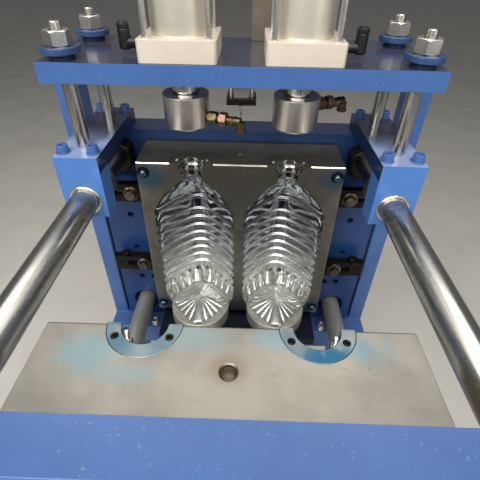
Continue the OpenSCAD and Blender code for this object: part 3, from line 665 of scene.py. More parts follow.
@dataclass(frozen=True)
class OilAndShadePaint(Finish):
    """Sprayed paint with settled dust, whose level tops are darkened: partly oil, partly painted
    shade and reflection.

    Attributes:
        oil_and_shade: Colour of the darkened tops, partly oil and partly painted shade.
        oil_and_shade_share: How much of the paint it hides.
        oil_and_shade_from: Distance behind the datum at which it begins; it is full 60 mm on.
        speck_mm: Size of the pale dust specks.
    """

    metallic: float = 0.0
    oil_and_shade: str = "#3c4356"
    oil_and_shade_share: float = 0.0
    oil_and_shade_from: float = -1000.0
    speck_mm: float = 3.0

    def over(self, tree: Tree, place: Socket, grain: Socket, skin: Skin) -> Skin:
        """Lays the darkened tops, oil and painted shade, on upward faces and pale specks
        everywhere.

        Args:
            tree: The node tree.
            place: Object coordinates.
            grain: The surface grain, 0 to 1.
            skin: Colour and roughness below.

        Returns:
            Colour and roughness with it.
        """
        normal = add_node(tree, "NewGeometry").outputs["Normal"]
        up = add_node(tree, "SeparateXYZ", links={"Vector": normal}).outputs["Z"]
        ends = {"From Min": 0.93, "From Max": 0.99, "To Max": self.oil_and_shade_share}
        level = add_node(tree, "MapRange", ends, {"Value": up}).outputs["Result"]
        size = {"Scale": 11.0, "Detail": 3.0}
        pools = add_node(tree, "TexNoise", size, {"Vector": place}).outputs["Fac"]
        ends = {"From Min": 0.25, "From Max": 0.5, "To Min": 0.78}
        wet = add_node(tree, "MapRange", ends, {"Value": pools}).outputs["Result"]
        depth = add_node(tree, "SeparateXYZ", links={"Vector": place}).outputs["Y"]
        near, far = (at(0, self.oil_and_shade_from + more, 0).y for more in (0, 60))
        ends = {"From Min": near, "From Max": far, "To Min": 0.15}
        begun = add_node(tree, "MapRange", ends, {"Value": depth}).outputs["Result"]
        both = {0: level, 1: wet}
        pooled = add_node(tree, "Math", links=both, operation="MULTIPLY").outputs[0]
        both = {0: pooled, 1: begun}
        oil_and_shade = add_node(tree, "Math", links=both, operation="MULTIPLY").outputs[0]
        skin = coated(tree, oil_and_shade, skin, self.oil_and_shade, 0.16)
        size = {"Scale": 1 / (self.speck_mm * MM), "Detail": 2.0}
        specks = add_node(tree, "TexNoise", size, {"Vector": place}).outputs["Fac"]
        ends = {"From Min": 0.66, "From Max": 0.78, "To Max": 0.3}
        dust = add_node(tree, "MapRange", ends, {"Value": specks}).outputs["Result"]
        return coated(tree, dust, skin, "#a9a8ad", 0.6)


@dataclass(frozen=True)
class StreakedSteel(Finish):
    """Steel with darker streaks painted along its grain as painted reflections.

    Attributes:
        streak: Colour of the streaks.
        streak_share: How dense they are, 0 to 1.
    """

    streak: str = "#6f685e"
    streak_share: float = 0.6

    def over(self, tree: Tree, place: Socket, grain: Socket, skin: Skin) -> Skin:
        """Lays the streaks along the grain.

        Args:
            tree: The node tree.
            place: Object coordinates.
            grain: The surface grain, 0 to 1.
            skin: Colour and roughness below.

        Returns:
            Colour and roughness with it.
        """
        ends = {"From Min": 0.46, "From Max": 0.66, "To Max": self.streak_share}
        mask = add_node(tree, "MapRange", ends, {"Value": grain}).outputs["Result"]
        return coated(tree, mask, skin, self.streak)


@dataclass(frozen=True)
class PaintedReflectionSteel(Finish):
    """Polished steel that is painted paler, a painted reflection, and grows duller from one height
    down to another.

    Attributes:
        pale_reflection: Colour of the painted reflection below.
        pale_reflection_from: Height above the datum at which it begins.
        pale_reflection_to: Height at which it is full.
        pale_reflection_gloss: Roughness where it is full.
    """

    pale_reflection: str = "#d0d0cc"
    pale_reflection_from: float = 0.0
    pale_reflection_to: float = -300.0
    pale_reflection_gloss: float = 0.2

    def over(self, tree: Tree, place: Socket, grain: Socket, skin: Skin) -> Skin:
        """Blends the painted pale reflection in by height.

        Args:
            tree: The node tree.
            place: Object coordinates.
            grain: The surface grain, 0 to 1.
            skin: Colour and roughness below.

        Returns:
            Colour and roughness with it.
        """
        height = add_node(tree, "SeparateXYZ", links={"Vector": place}).outputs["Z"]
        top, foot = (at(0, 0, level).z for level in (self.pale_reflection_from, self.pale_reflection_to))
        ends = {"From Min": top, "From Max": foot}
        share = add_node(
            tree, "MapRange", ends, {"Value": height}, interpolation_type="SMOOTHSTEP"
        ).outputs["Result"]
        return coated(tree, share, skin, self.pale_reflection, self.pale_reflection_gloss)


@dataclass(frozen=True)
class Mark:
    """One smear, stain or patch of dirt on a surface.

    Attributes:
        place: Its middle.
        reach_mm: How far it spreads along X, Y and Z.
        code: Its colour, sRGB hex.
        strength: How dense it is, 0 to 1.
        break_mm: Size of the pattern that breaks it up.
        low: Where that pattern starts to show, from 0; higher leaves scattered specks.
        gloss: Roughness inside the mark.
    """

    place: tuple[float, float, float]
    reach_mm: tuple[float, float, float]
    code: str
    strength: float = 0.8
    break_mm: float = 18.0
    low: float = 0.34
    gloss: float = 0.45


@dataclass(frozen=True)
class MarkedSteel(Finish):
    """Bare metal with smears of marking blue, grease or dirt at given places.

    Attributes:
        marks: The smears, laid one over the other.
    """

    marks: tuple[Mark, ...] = ()

    def over(self, tree: Tree, place: Socket, grain: Socket, skin: Skin) -> Skin:
        """Lays every mark, faded towards its edge and broken up by a wiping pattern.

        Args:
            tree: The node tree.
            place: Object coordinates.
            grain: The surface grain, 0 to 1.
            skin: Colour and roughness below.

        Returns:
            Colour and roughness with it.
        """
        for mark in self.marks:
            middle = {1: at(*mark.place)}
            gap = add_node(
                tree, "VectorMath", middle, {0: place}, operation="SUBTRACT"
            ).outputs["Vector"]
            size = {1: [1 / (reach * MM) for reach in mark.reach_mm]}
            shrunk = add_node(
                tree, "VectorMath", size, {0: gap}, operation="MULTIPLY"
            ).outputs["Vector"]
            far = add_node(
                tree, "VectorMath", links={0: shrunk}, operation="LENGTH"
            ).outputs["Value"]
            ends = {"From Min": 1.0, "From Max": 0.3, "To Max": mark.strength}
            near = add_node(
                tree, "MapRange", ends, {"Value": far}, interpolation_type="SMOOTHSTEP"
            ).outputs["Result"]
            size = {"Scale": 1 / (mark.break_mm * MM), "Detail": 3.0}
            wipes = add_node(tree, "TexNoise", size, {"Vector": place}).outputs["Fac"]
            ends = {"From Min": mark.low, "From Max": mark.low + 0.16}
            broken = add_node(tree, "MapRange", ends, {"Value": wipes}).outputs["Result"]
            both = {0: near, 1: broken}
            mask = add_node(tree, "Math", links=both, operation="MULTIPLY").outputs[0]
            skin = coated(tree, mask, skin, mark.code, mark.gloss)
        return skin


# Sprayed machine enamel, mid blue: a soft orange-peel gloss with pale dust specks;
# its level tops are a little darkened, partly oil and partly painted shade.
BLUE_ENAMEL = OilAndShadePaint(
    "sprayed_blue_enamel", "#4468a2", "#3b5b93", 85, 0.7, (0.3, 0.46), (2.2, 2.2, 2.2), 0.035,
    oil_and_shade_share=0.25,
)
# The same enamel on the bridge, its flat top painted dark slate as a painted reflection of the dark
# room above.
BRIDGE_ENAMEL = OilAndShadePaint(
    "oil_filmed_blue_enamel", "#43669e", "#3a5a8f", 85, 0.7, (0.26, 0.42), (2.2, 2.2, 2.2), 0.035,
    oil_and_shade="#3a3a47", oil_and_shade_share=1.0,
)
# The column washers: the same enamel painted darker as painted shade, their tops darkened as a
# painted reflection.
WASHER_ENAMEL = OilAndShadePaint(
    "washer_enamel_painted_shade", "#314c78", "#263d63", 18, 0.7, (0.26, 0.42), (2.2, 2.2, 2.2), 0.035,
    oil_and_shade="#3a3a47", oil_and_shade_share=0.9,
)
# Shoulder plates: painted pale lilac in front as painted light, and painted dark from 22 mm behind
# the datum on as painted shade behind the columns.
SHOULDER_ENAMEL = OilAndShadePaint(
    "part_oiled_blue_enamel", "#93a2c6", "#8393b7", 60, 0.7, (0.24, 0.4), (2.2, 2.2, 2.2), 0.035,
    oil_and_shade="#3a3a47", oil_and_shade_share=1.0, oil_and_shade_from=-22.0,
)
# Bearing blocks, and the lit faces of the shoulder plates: the blue enamel painted brighter as
# painted light.
BLOCK_ENAMEL = OilAndShadePaint(
    "blue_enamel_painted_light", "#4a78bc", "#416cab", 60, 0.7, (0.28, 0.42), (2.0, 2.0, 2.0), 0.03,
    oil_and_shade_share=0.2,
)
# Inner sides of the shoulders and the lower steps of the washers: the same paint darkened to navy
# as painted shade.
INNER_ENAMEL = OilAndShadePaint(
    "blue_enamel_painted_shade", "#172e55", "#0f2142", 60, 0.8, (0.28, 0.42), (2.2, 2.2, 2.2),
    0.035, oil_and_shade_share=0.6,
)
# The fixed plate behind the mould: the enamel painted deep and dark as painted shade, its tops
# darker still.
DEEP_ENAMEL = OilAndShadePaint(
    "sprayed_deep_blue_enamel", "#1c3f74", "#142f5a", 110, 0.8, (0.3, 0.48), (2.4, 2.4, 2.4),
    0.04, oil_and_shade_share=0.7,
)
# Surface-ground tool steel: warm grey with fine wheel marks under old oil and marking blue.
GROUND_STEEL = MarkedSteel(
    "ground_tool_steel", "#8f8b80", "#6d6659", 46, 0.75, (0.32, 0.48), (22, 9, 0.9), 0.012,
    marks=(
        Mark((-152, 0, -28), (38, 30, 34), "#2b6482", 0.75, 26, 0.2),
        Mark((156, 0, -24), (36, 30, 32), "#2b6482", 0.65, 26, 0.2),
        Mark((-160, 0, -336), (32, 20, 30), "#1d5a80", 0.7),
        Mark((160, 0, -336), (32, 20, 30), "#1d5a80", 0.7),
        Mark((6, 0, -14), (40, 14, 14), "#d8d0bf", 0.6, 1.6, 0.5, 0.3),
    ),
)
# The opened front half: lapped pale steel, wiped with marking blue, dirt specks at the right.
LAPPED_STEEL = MarkedSteel(
    "lapped_tool_steel", "#a8a297", "#948f84", 50, 0.7, (0.42, 0.56), (22, 0.8, 9), 0.018,
    marks=(
        Mark((-126, -344, 0), (40, 30, 40), "#86a2a8", 0.75, 34, 0.4),
        Mark((124, -332, 0), (30, 24, 40), "#7f9ea8", 0.75, 30, 0.4),
        Mark((-86, -363, 0), (40, 14, 40), "#8ea1a3", 0.6, 26),
        Mark((-34, -326, 0), (46, 22, 30), "#8ea5aa", 0.6, 40, 0.2),
        Mark((44, -324, 0), (36, 20, 30), "#8aa4ac", 0.65, 36, 0.2),
        Mark((-1, -356, 0), (24, 17, 30), "#8b7b65", 0.7, 30, 0.2),
        Mark((106, -352, 0), (44, 16, 30), "#35302c", 0.85, 2.0, 0.6),
        Mark((60, -362, 0), (44, 12, 30), "#4a443c", 0.7, 1.8, 0.61),
    ),
)
# The front neck rings: the same steel with a denser wash of marking blue.
BLUED_RING = MarkedSteel(
    "blued_ring_steel", "#868e8f", "#6f8087", 24, 0.8, (0.34, 0.48), (26, 0.9, 9), 0.01,
    marks=(
        Mark((-104, -326, 0), (30, 40, 30), "#55798a", 0.8, 20, 0.34),
        Mark((-62, -334, 0), (22, 24, 30), "#6a8792", 0.6, 16, 0.34),
        Mark((86, -346, 0), (40, 26, 30), "#2b6485", 0.9, 22, 0.3),
    ),
)
# Hand-polished cavity: dark near the neck and paler downwards, a painted reflection of the dark
# parts above and the bright floor below; it also grows duller downwards.
MIRROR_STEEL = PaintedReflectionSteel(
    "polished_cavity_steel", "#6b6e70", "#515558", 30, 0.5, (0.07, 0.12), (6, 6, 6), 0.003,
    pale_reflection="#cdcecd", pale_reflection_from=-165.0, pale_reflection_to=-275.0, pale_reflection_gloss=0.14,
)
# Rib flanks in the cavity: satin from the polishing stone and painted pale as a painted highlight,
# so every rib draws two pale lines.
RIB_HIGHLIGHT = Finish(
    "satin_rib_painted_highlight", "#e2e3e0", "#cbcccb", 16, 0.5, (0.24, 0.32), (3, 3, 3), 0.002
)
# The chamfers of the front edges: painted pale as a painted highlight, so they show as thin white
# lines.
EDGE_HIGHLIGHT = Finish(
    "edge_painted_highlight", "#e4e0d6", "#cfcabf", 20, 0.5, (0.2, 0.34), (3, 3, 3), 0.004
)
# Turned steel, drawn lengthwise with emery: painted very pale as a painted highlight, with darker
# streaks painted lengthwise as painted reflections.
TURNED_STEEL = StreakedSteel(
    "drawn_turned_steel", "#f0e8dc", "#d4ccbf", 40, 0.6, (0.28, 0.4), (1.1, 1.1, 110), 0.014,
    streak="#a39c90", streak_share=0.5,
)
# The bowl of a neck ring: turned and polished round, with darker hoops painted round it as painted
# reflections.
RING_BOWL = StreakedSteel(
    "polished_ring_bowl", "#c6c4be", "#a5a29b", 12, 0.6, (0.1, 0.18), (40, 40, 0.7), 0.01,
    streak="#77736b", streak_share=0.5,
)
# Guide pins: hardened, smeared with marking blue, so they stay dark and greenish.
PIN_STEEL = Finish(
    "blued_guide_pin", "#5f7c83", "#26414c", 3.2, 0.9, (0.2, 0.36), (1.2, 1.2, 1.2), 0.012
)
# The plate under the inserts: painted dark blue-grey as painted shade under the mould.
SHADE_PAINTED_PLATE = Finish(
    "base_plate_painted_shade", "#262b3c", "#171b29", 70, 0.8, (0.34, 0.5), (22, 9, 0.9), 0.012, 0.85
)
# The columns: chromed over drawn bar, with darker bands painted along them as painted reflections
# of the room.
# These painted bands are far coarser than real drawing lines, as coarse as they need to show.
REFLECTION_BANDED_CHROME = StreakedSteel(
    "drawn_chromed_column", "#dedad2", "#c8c4bb", 120, 0.4, (0.2, 0.27), (3.4, 3.4, 3000), 0.006,
    streak="#6f685e", streak_share=0.7,
)
# Hard chrome on ground bar: nearly a mirror.
HARD_CHROME = Finish(
    "hard_chromed_bar", "#cfccc6", "#bbb7ae", 90, 0.5, (0.13, 0.18), (0.5, 0.5, 0.5), 0.0004
)
# The upper tie bars: chromed and rubbed dull by the bearing blocks, with grease at the bushes.
DULLED_CHROME = MarkedSteel(
    "dulled_chrome_bar", "#c9c6bf", "#b1ada4", 90, 0.7, (0.22, 0.32), (0.6, 0.6, 0.6), 0.002,
    marks=(
        Mark((-230, -96, -10), (40, 40, 40), "#6e5a45", 0.5, 14),
        Mark((230, -96, -10), (40, 40, 40), "#6e5a45", 0.5, 14),
    ),
)
# The lower tie bars: ground but not plated, brushed grey along their length.
GROUND_BAR = Finish(
    "ground_steel_bar", "#b4b1a9", "#98948b", 60, 0.7, (0.4, 0.5), (0.9, 50, 0.9), 0.006, 0.6
)
# Bright zinc on nuts and small screws.
BRIGHT_ZINC = Finish(
    "bright_zinc_plate", "#e9e7e1", "#cdc9c0", 9, 0.6, (0.26, 0.4), (2, 2, 2), 0.008
)
# Oiled dark steel of the clamp bolts and their washers, worn pale on the corners.
OILED_BOLT = Finish(
    "oiled_bolt_steel", "#7b6f60", "#4a4238", 7, 0.8, (0.3, 0.46), (1.6, 1.6, 1.6), 0.015
)
# Yellow-passivated zinc: brown-gold with darker handling stains.
YELLOW_ZINC = Finish(
    "yellow_zinc_plate", "#8f744a", "#5f4a31", 8, 0.75, (0.28, 0.44), (1.6, 1.6, 1.6), 0.015
)
# Blackened steel: almost black, oily, rubbed to brown where it is handled.
BLACK_OXIDE = Finish(
    "black_oxide_steel", "#1f1d1b", "#332d26", 14, 0.7, (0.26, 0.46), (1.4, 1.4, 1.4), 0.02, 0.85
)
# Machined brass bar, dulled and oily.
BRASS = Finish("machined_brass", "#746546", "#4c4132", 7, 0.7, (0.36, 0.54), (1.5, 1.5, 1.5), 0.01)
# Copper-plated collar of the push-in fitting.
COPPER = Finish("copper_plate", "#9a7564", "#78574a", 7, 0.5, (0.36, 0.52), (1.5, 1.5, 1.5), 0.01)
# Cast and skimmed aluminium: creamy grey, matt.
CAST_ALUMINIUM = Finish(
    "skimmed_aluminium", "#d2cebf", "#aeaa9a", 14, 0.7, (0.36, 0.54), (26, 26, 0.8), 0.012,
    0.65,
)
# Polished aluminium of the petal forms, dulled by heat.
POLISHED_ALUMINIUM = Finish(
    "buffed_petal_aluminium", "#d2d0c9", "#bbb8af", 12, 0.6, (0.24, 0.34), (1.2, 1.2, 1.2), 0.006,
    0.8,
)
# Warm white stove enamel on the cylinder caps.
WHITE_ENAMEL = OilAndShadePaint(
    "warm_white_enamel", "#d2c6b5", "#c4b8a5", 40, 0.7, (0.36, 0.5), (1.6, 1.6, 1.6), 0.02,
    oil_and_shade="#c8bda9", oil_and_shade_share=0.3, speck_mm=4,
)
# Drawn aluminium barrel: satin, creamy, brushed round.
BARREL_ALUMINIUM = Finish(
    "drawn_aluminium_barrel", "#e6dfce", "#cdc5b3", 60, 0.6, (0.34, 0.46), (40, 40, 0.9), 0.006,
    0.7,
)
# Grey anodised body of the valve.
GREY_ANODISED = Finish(
    "grey_anodised_aluminium", "#a89b8c", "#8b8073", 22, 0.6, (0.34, 0.5), (1.2, 1.2, 1.2), 0.01,
    0.6,
)
# Moulded black nylon of the push-in elbows.
BLACK_NYLON = OilAndShadePaint(
    "moulded_black_nylon", "#101211", "#191b19", 12, 0.5, (0.34, 0.5), (0.9, 0.9, 0.9), 0.02,
    oil_and_shade_share=0.0, speck_mm=2,
)
# Oil-brown rubbed steel of the small plate under the bridge.
BROWN_STEEL = Finish(
    "oiled_brown_steel", "#4b4038", "#2f2823", 16, 0.7, (0.3, 0.46), (2, 2, 2), 0.02, 0.9
)
# Power-floated pale concrete.
PALE_FLOOR = OilAndShadePaint(
    "pale_floated_concrete", "#dcd7cc", "#ccc7bd", 320, 0.7, (0.5, 0.65), (6, 6, 6), 0.05,
    oil_and_shade_share=0.0, speck_mm=9,
)


def fit_finishes(piece: Piece, *finishes: Finish) -> Piece:
    """Adds finishes to a piece as its next material slots.

    Args:
        piece: The piece.
        *finishes: The finishes, in their order.

    Returns:
        The same piece.
    """
    for finish in finishes:
        piece.data.materials.append(finish.make())
    return piece


def dress(piece: Piece, finishes: Sequence[Finish], body: str, slot: str, *nodes: str) -> Piece:
    """Gives a piece its finishes and hangs it on its body.

    Args:
        piece: The finished mesh.
        finishes: Its finishes, in the order of its material slots.
        body: The CAD body that carries it.
        slot: The record's material slot; not used.
        *nodes: CAD nodes that it stands for.

    Returns:
        The same piece.
    """
    kept = [face.material_index for face in piece.data.polygons]
    piece.data.materials.clear()
    fit_finishes(piece, *finishes)
    for face, index in zip(piece.data.polygons, kept):
        face.material_index = min(index, len(finishes) - 1)
    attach(piece, body)
    if nodes:
        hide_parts(*nodes)
    log.info("%s: %d faces on %s", piece.name, len(piece.data.polygons), body)
    return piece


# ---- mould


@dataclass(frozen=True)
class BottleForm:
    """The bottle's outer skin, which the two mould halves hold as their cavity.

    Attributes:
        half_width: Half width of the square body across its corner flats.
        corner_flat: Width of the flat on each corner.
        neck: Radius of the waist below the neck ring.
        ribs: Depths of the rib middles below the mould top.
        rib_width: Height of one rib at its foot.
        rib_flank: Height of each sloping flank of a rib.
        rib_depth: How far a rib stands into the bottle.
        foot_radius: Radius where the cavity meets the base insert.
        bottom: Depth of the lower end of the cavity.
        corner_round: Exponent that rounds the section's corners.
        bulge: How far the faces belly out between the corners, as a share.
        facet_depth: Depth of the diamond facets on the shoulder.
        facets: Number of facets round the shoulder.
        facet_band: Depths between which they lie.
        facet_half: Half the height of one diamond.
        flute_depth: Depth of the upright flutes round the foot.
        flutes: Number of those flutes.
        flute_band: Depths between which they lie.
        flute_arch: Height of the arch at a flute's head.
    """

    half_width: float = 72.0
    corner_flat: float = 24.0
    neck: float = 16.0
    ribs: tuple[float, ...] = (109.0, *(139.0 + 20.0 * i for i in range(8)))
    rib_width: float = 10.2
    rib_flank: float = 2.9
    rib_depth: float = 3.8
    foot_radius: float = 60.6
    bottom: float = 338.6
    corner_round: float = 16.0
    bulge: float = 0.05
    facet_depth: float = 1.6
    facets: int = 14
    facet_band: tuple[float, float] = (40.0, 98.0)
    facet_half: float = 24.0
    flute_depth: float = 3.4
    flutes: int = 20
    flute_band: tuple[float, float] = (292.0, 341.0)
    flute_arch: float = 16.0

    def outline(self, depth: float) -> tuple[float, float]:
        """Gives the half width and the squareness at a depth.

        Args:
            depth: Depth below the mould top.

        Returns:
            Half width, and squareness from 0 for round to 1 for the full section.
        """
        neck, full = self.neck, self.half_width
        # Depth, half width and squareness, from the waist under the neck ring to the foot.
        marks = (
            (10.0, neck, 0.0), (29.0, neck, 0.0), (34.0, neck + 4.4, 0.05),
            (44.0, full * 0.46, 0.25), (60.0, full * 0.68, 0.6), (76.0, full * 0.85, 0.85),
            (90.0, full * 0.955, 1.0), (99.0, full, 1.0), (290.0, full - 0.5, 1.0),
            (313.0, full - 2.0, 1.0), (324.0, full - 5.0, 1.0), (333.0, full - 9.0, 0.9),
            (self.bottom, self.foot_radius, 0.7),
        )
        for (z0, w0, s0), (z1, w1, s1) in zip(marks, marks[1:]):
            if depth <= z1:
                t = max(0.0, min(1.0, (depth - z0) / (z1 - z0)))
                return w0 + (w1 - w0) * t, s0 + (s1 - s0) * t
        return self.foot_radius, 0.7

    def rib(self, depth: float) -> float:
        """Gives how far the nearest rib stands in.

        Args:
            depth: Depth below the mould top.

        Returns:
            Its height above the plain skin.
        """
        gap = min(abs(depth - middle) for middle in self.ribs)
        share = max(0.0, min(1.0, (self.rib_width / 2 - gap) / self.rib_flank))
        crown = max(0.0, 1 - (2 * gap / self.rib_width) ** 2)
        return self.rib_depth * (0.85 * share * share * (3 - 2 * share) + 0.15 * crown)

    def facet(self, angle: float, depth: float) -> float:
        """Gives the depth of the diamond lattice on the shoulder.

        Args:
            angle: Angle round the bottle axis.
            depth: Depth below the mould top.

        Returns:
            That distance.
        """
        top, foot = self.facet_band
        if not top < depth < foot:
            return 0.0
        turn = angle * self.facets
        drop = (depth - top) / self.facet_half * math.pi
        fade = min(1.0, (depth - top) / 12.0, (foot - depth) / 6.0)
        return self.facet_depth * (0.5 + 0.5 * math.cos(turn) * math.cos(drop)) * fade

    def flute(self, angle: float, depth: float) -> float:
        """Gives the depth of the upright flutes at the foot, arched at their heads.

        Args:
            angle: Angle round the bottle axis.
            depth: Depth below the mould top.

        Returns:
            That distance.
        """
        top, foot = self.flute_band
        crest = abs(math.sin(self.flutes * angle / 2))
        head = top + self.flute_arch * (1 - crest)
        fade = max(0.0, min(1.0, (depth - head) / 10.0, (foot - depth) / 8.0))
        return self.flute_depth * crest * fade

    def radius(self, angle: float, depth: float) -> float:
        """Gives the skin's distance from the bottle axis at an angle and depth.

        Args:
            angle: Angle round the bottle axis.
            depth: Depth below the mould top.

        Returns:
            That distance.
        """
        width, squareness = self.outline(depth)
        width -= self.rib(depth)
        width -= self.facet(angle, depth) + self.flute(angle, depth)
        c, s = abs(math.cos(angle)), abs(math.sin(angle))
        belly = 1 + self.bulge * (2 * c * s) ** 2
        diagonal = width * (1 + self.corner_flat / 2 / self.half_width) * belly
        power = self.corner_round
        sides = (c / width) ** power + (s / width) ** power + ((c + s) / diagonal) ** power
        return (1 - squareness) * width + squareness * sides ** (-1 / power)

    def depths(self) -> list[float]:
        """Lists the depths at which the skin needs a ring of points.

        Returns:
            The depths, from the top down.
        """
        marks = [10.0, 29.0, 31.0, 34.0, 37.0, 40.0]
        marks += [40.0 + 2.9 * i for i in range(1, 20)]
        marks += [98.0, 99.0, *(291.0 + 3.0 * i for i in range(13)), 333.0, self.bottom]
        steps = (0.0, 0.15, 0.3, 0.5, 0.7, 0.85, 1.0)
        for middle in self.ribs:
            for way in (-1, 1):
                foot = middle + way * self.rib_width / 2
                marks += [foot - way * self.rib_flank * step for step in steps]
            marks += [middle - 1, middle + 1]
        return sorted(set(round(m, 3) for m in marks))

    def make(self, name: str, x: float, sides: int = 144) -> Piece:
        """Models the skin as a closed form round one bottle axis.

        Args:
            name: Name of the piece.
            x: Place of the bottle axis.
            sides: Points round each ring.

        Returns:
            The bottle form, ready to cut a cavity.
        """
        rings = [(self.half_width, -depth) for depth in self.depths()]
        piece = turned(name, rings, sides=sides)
        for point in piece.data.vertices:
            local = (point.co - DATUM) / MM
            if math.hypot(local.x, local.y) < self.half_width - 1:
                continue
            angle = math.atan2(local.y, local.x)
            far = self.radius(angle, -local.z)
            point.co = at(x + far * math.cos(angle), far * math.sin(angle), local.z)
        return piece


@dataclass(frozen=True)
class Mould:
    """The two mould halves with their neck rings, screws, pins and bushes.

    Attributes:
        pitch: Distance between the two bottle axes.
        ring_radius: Radius of the neck rings.
        ring_height: Height of the neck rings.
        seat_radius: Radius of the counterbore for the collar of the blank.
        seat_depth: Depth of that counterbore.
        bore: Radius of the bore for the thread of the blank.
        insert_radius: Radius of the base insert.
        pin_radius: Radius of the guide pins.
        bush_radius: Radius of the guide bushes.
        sink_radius: Radius of the countersinks round the pins.
        screw_radius: Radius of the screw heads in the rings.
        pin_x: Distance of the guide pins from the middle.
        pin_z: Heights of the upper and lower pins.
        strap_in: How far the slots for the straps go in from the sides.
        strap_half: Half the height of those slots.
        strap_y: Front and rear of those slots.
        edge: Width of the chamfer along the front top edge.
        side_edge: Width of the chamfers down the front side edges.
        form: The bottle's skin.
    """

    pitch: float = 2 * AXIS_X
    ring_radius: float = 35.8
    ring_height: float = 20.0
    seat_radius: float = 21.6
    seat_depth: float = 11.0
    bore: float = 17.8
    insert_radius: float = 60.6
    pin_radius: float = 7.0
    bush_radius: float = 9.4
    sink_radius: float = 10.6
    screw_radius: float = 3.5
    pin_x: float = 160.5
    pin_z: tuple[float, float] = (-18.5, -339.5)
    strap_in: float = 12.0
    strap_half: float = 20.2
    strap_y: tuple[float, float] = (59.9, 75.1)
    edge: float = 2.2
    side_edge: float = 1.1
    form: BottleForm = BottleForm()

    @property
    def axes(self) -> tuple[float, float]:
        """X of the two bottle axes."""
        return (-self.pitch / 2, self.pitch / 2)

    @property
    def front_y(self) -> float:
        """Y of the front half's parting face."""
        return span("front_mould_half")[1].y

    @property
    def pin_places(self) -> list[tuple[float, float]]:
        """X and Z of the four guide pins."""
        return [(way * self.pin_x, z) for way in (-1, 1) for z in self.pin_z]

    def block(self) -> Piece:
        """Models the ground block of one half with a chamfer along its top edge.

        Returns:
            The block.
        """
        piece = slab("mould_block", *span("rear_mould_half"))
        near = 0.01
        bevel_edges(
            piece, self.edge, lambda a, b: max(abs(a.y), abs(b.y), abs(a.z), abs(b.z)) < near
        )
        bevel_edges(
            piece, self.side_edge, lambda a, b: max(abs(a.y), abs(b.y), abs(a.x - b.x)) < near
        )
        return soften(piece, 0.7, 2)

    def half(self, pin_hole: float, sink: float) -> Piece:
        """Models one half: the block with its cavities, seats and holes cut out.

        Args:
            pin_hole: Radius of the holes for the guide pins or their bushes.
            sink: Radius of the shallow countersink round them.

        Returns:
            The half, with finish 0 on ground faces, 1 in the cavities, 2 on the chamfers,
            3 in the countersinks and 4 on the rib flanks.
        """
        low, high = span("rear_mould_half")
        piece = fit_finishes(self.block(), GROUND_STEEL, MIRROR_STEEL)
        skin = self.form.make("cavity_tool", self.axes[0])
        fit_finishes(skin, GROUND_STEEL, MIRROR_STEEL)
        face_finish(skin, 1)
        second = copy_of(skin, "cavity_tool_2", (self.pitch, 0, 0))
        cut(piece, skin, second)
        for x in self.axes:
            foot, tall = (x, 0, -self.ring_height), self.ring_height + 1
            cut(piece, rod("seat_tool", self.ring_radius + 0.15, foot, tall, sides=96))
            foot, tall = (x, 0, low.z - 1), 1 - low.z - self.form.bottom + 1.0
            cut(piece, rod("insert_tool", self.insert_radius + 0.3, foot, tall, sides=96))
        for x, z in self.pin_places:
            cut(piece, rod("sink_tool", sink, (x, -1, z), 2, Facing.REAR, 48))
            cut(piece, rod("pin_tool", pin_hole, (x, -1, z), 27, Facing.REAR, 32))
        # The lifting thread: a countersink, one drawn turn of thread and the core hole.
        thread = [(7.4, -2.2), (6.8, -3.4), (6.8, -5), (7.4, -6.2)]
        screwed = [(8.6, 1), (8.6, 0), (7.4, -1.2)] + thread + [(6.8, -8), (6.8, -14)]
        cut(piece, turned("thread_tool", screwed, (0, high.y / 2, 0), sides=40))
        deep, tall = self.strap_in, self.strap_half
        near, far = self.strap_y
        for x in (low.x, high.x):
            for z in STRAP_LEVELS:
                corners = (x - deep, near, z - tall), (x + deep, far, z + tall)
                cut(piece, slab("slot_tool", *corners))
        smooth(piece, 26, flat_over=400)
        for way in ((0, -1, 1), (1, -1, 0), (-1, -1, 0)):
            chamfer = Vector(way).normalized()
            face_finish(
                piece, 2, lambda m, n: n.dot(chamfer) > 0.99 and m.y < 2.5 and abs(m.x) > 40
            )
        face_finish(
            piece,
            3,
            lambda m, n: 0.4 < m.y < 1.5 and abs(n.y) > 0.9 and abs(abs(m.x) - self.pin_x) < 11,
        )
        form = self.form
        inner, outer = form.rib_width / 2 - form.rib_flank, form.rib_width / 2
        face_finish(
            piece,
            4,
            lambda m, n: m.y > 0.3
            and math.hypot(abs(m.x) - self.pitch / 2, m.y) < 80
            and any(inner < abs(m.z + rib) < outer for rib in form.ribs),
        )
        return piece

    def neck_ring(self) -> Piece:
        """Models half a neck ring with its counterbored screw holes, on the axis X = 0.

        Returns:
            The half ring, with finish 0 outside and 1 in its bowl.
        """
        r, b, s = self.ring_radius, self.bore, self.seat_radius
        deep, tall, groove = self.seat_depth, self.ring_height, self.seat_radius + 0.7
        rings = [
            (b + 0.8, -tall), (r, -tall), (r, -0.7), (r - 0.7, 0), (s + 0.9, 0), (s, -0.9),
            (s, -deep * 0.46), (groove, -deep * 0.52), (groove, -deep * 0.66), (s, -deep * 0.72),
            (s, -deep + 0.4), (s - 0.4, -deep), (b + 0.6, -deep), (b, -deep - 0.6),
            (b, -tall + 0.8), (b + 0.8, -tall),
        ]
        piece = turned("neck_ring", rings, sides=128)
        cut(piece, slab("half_tool", (-60, -60, -40), (60, 0, 20)))
        for x, y in self.screw_places():
            bore = self.screw_radius + 0.3
            cut(piece, rod("counterbore_tool", bore, (x, y, -4.2), 6, sides=32))
        soften(piece, 0.15, 1)
        smooth(piece, 30)
        fit_finishes(piece, GROUND_STEEL, RING_BOWL)
        bowl = self.seat_radius + 0.5
        face_finish(piece, 1, lambda m, n: math.hypot(m.x, m.y) < bowl and abs(m.y) > 0.1)
        return piece

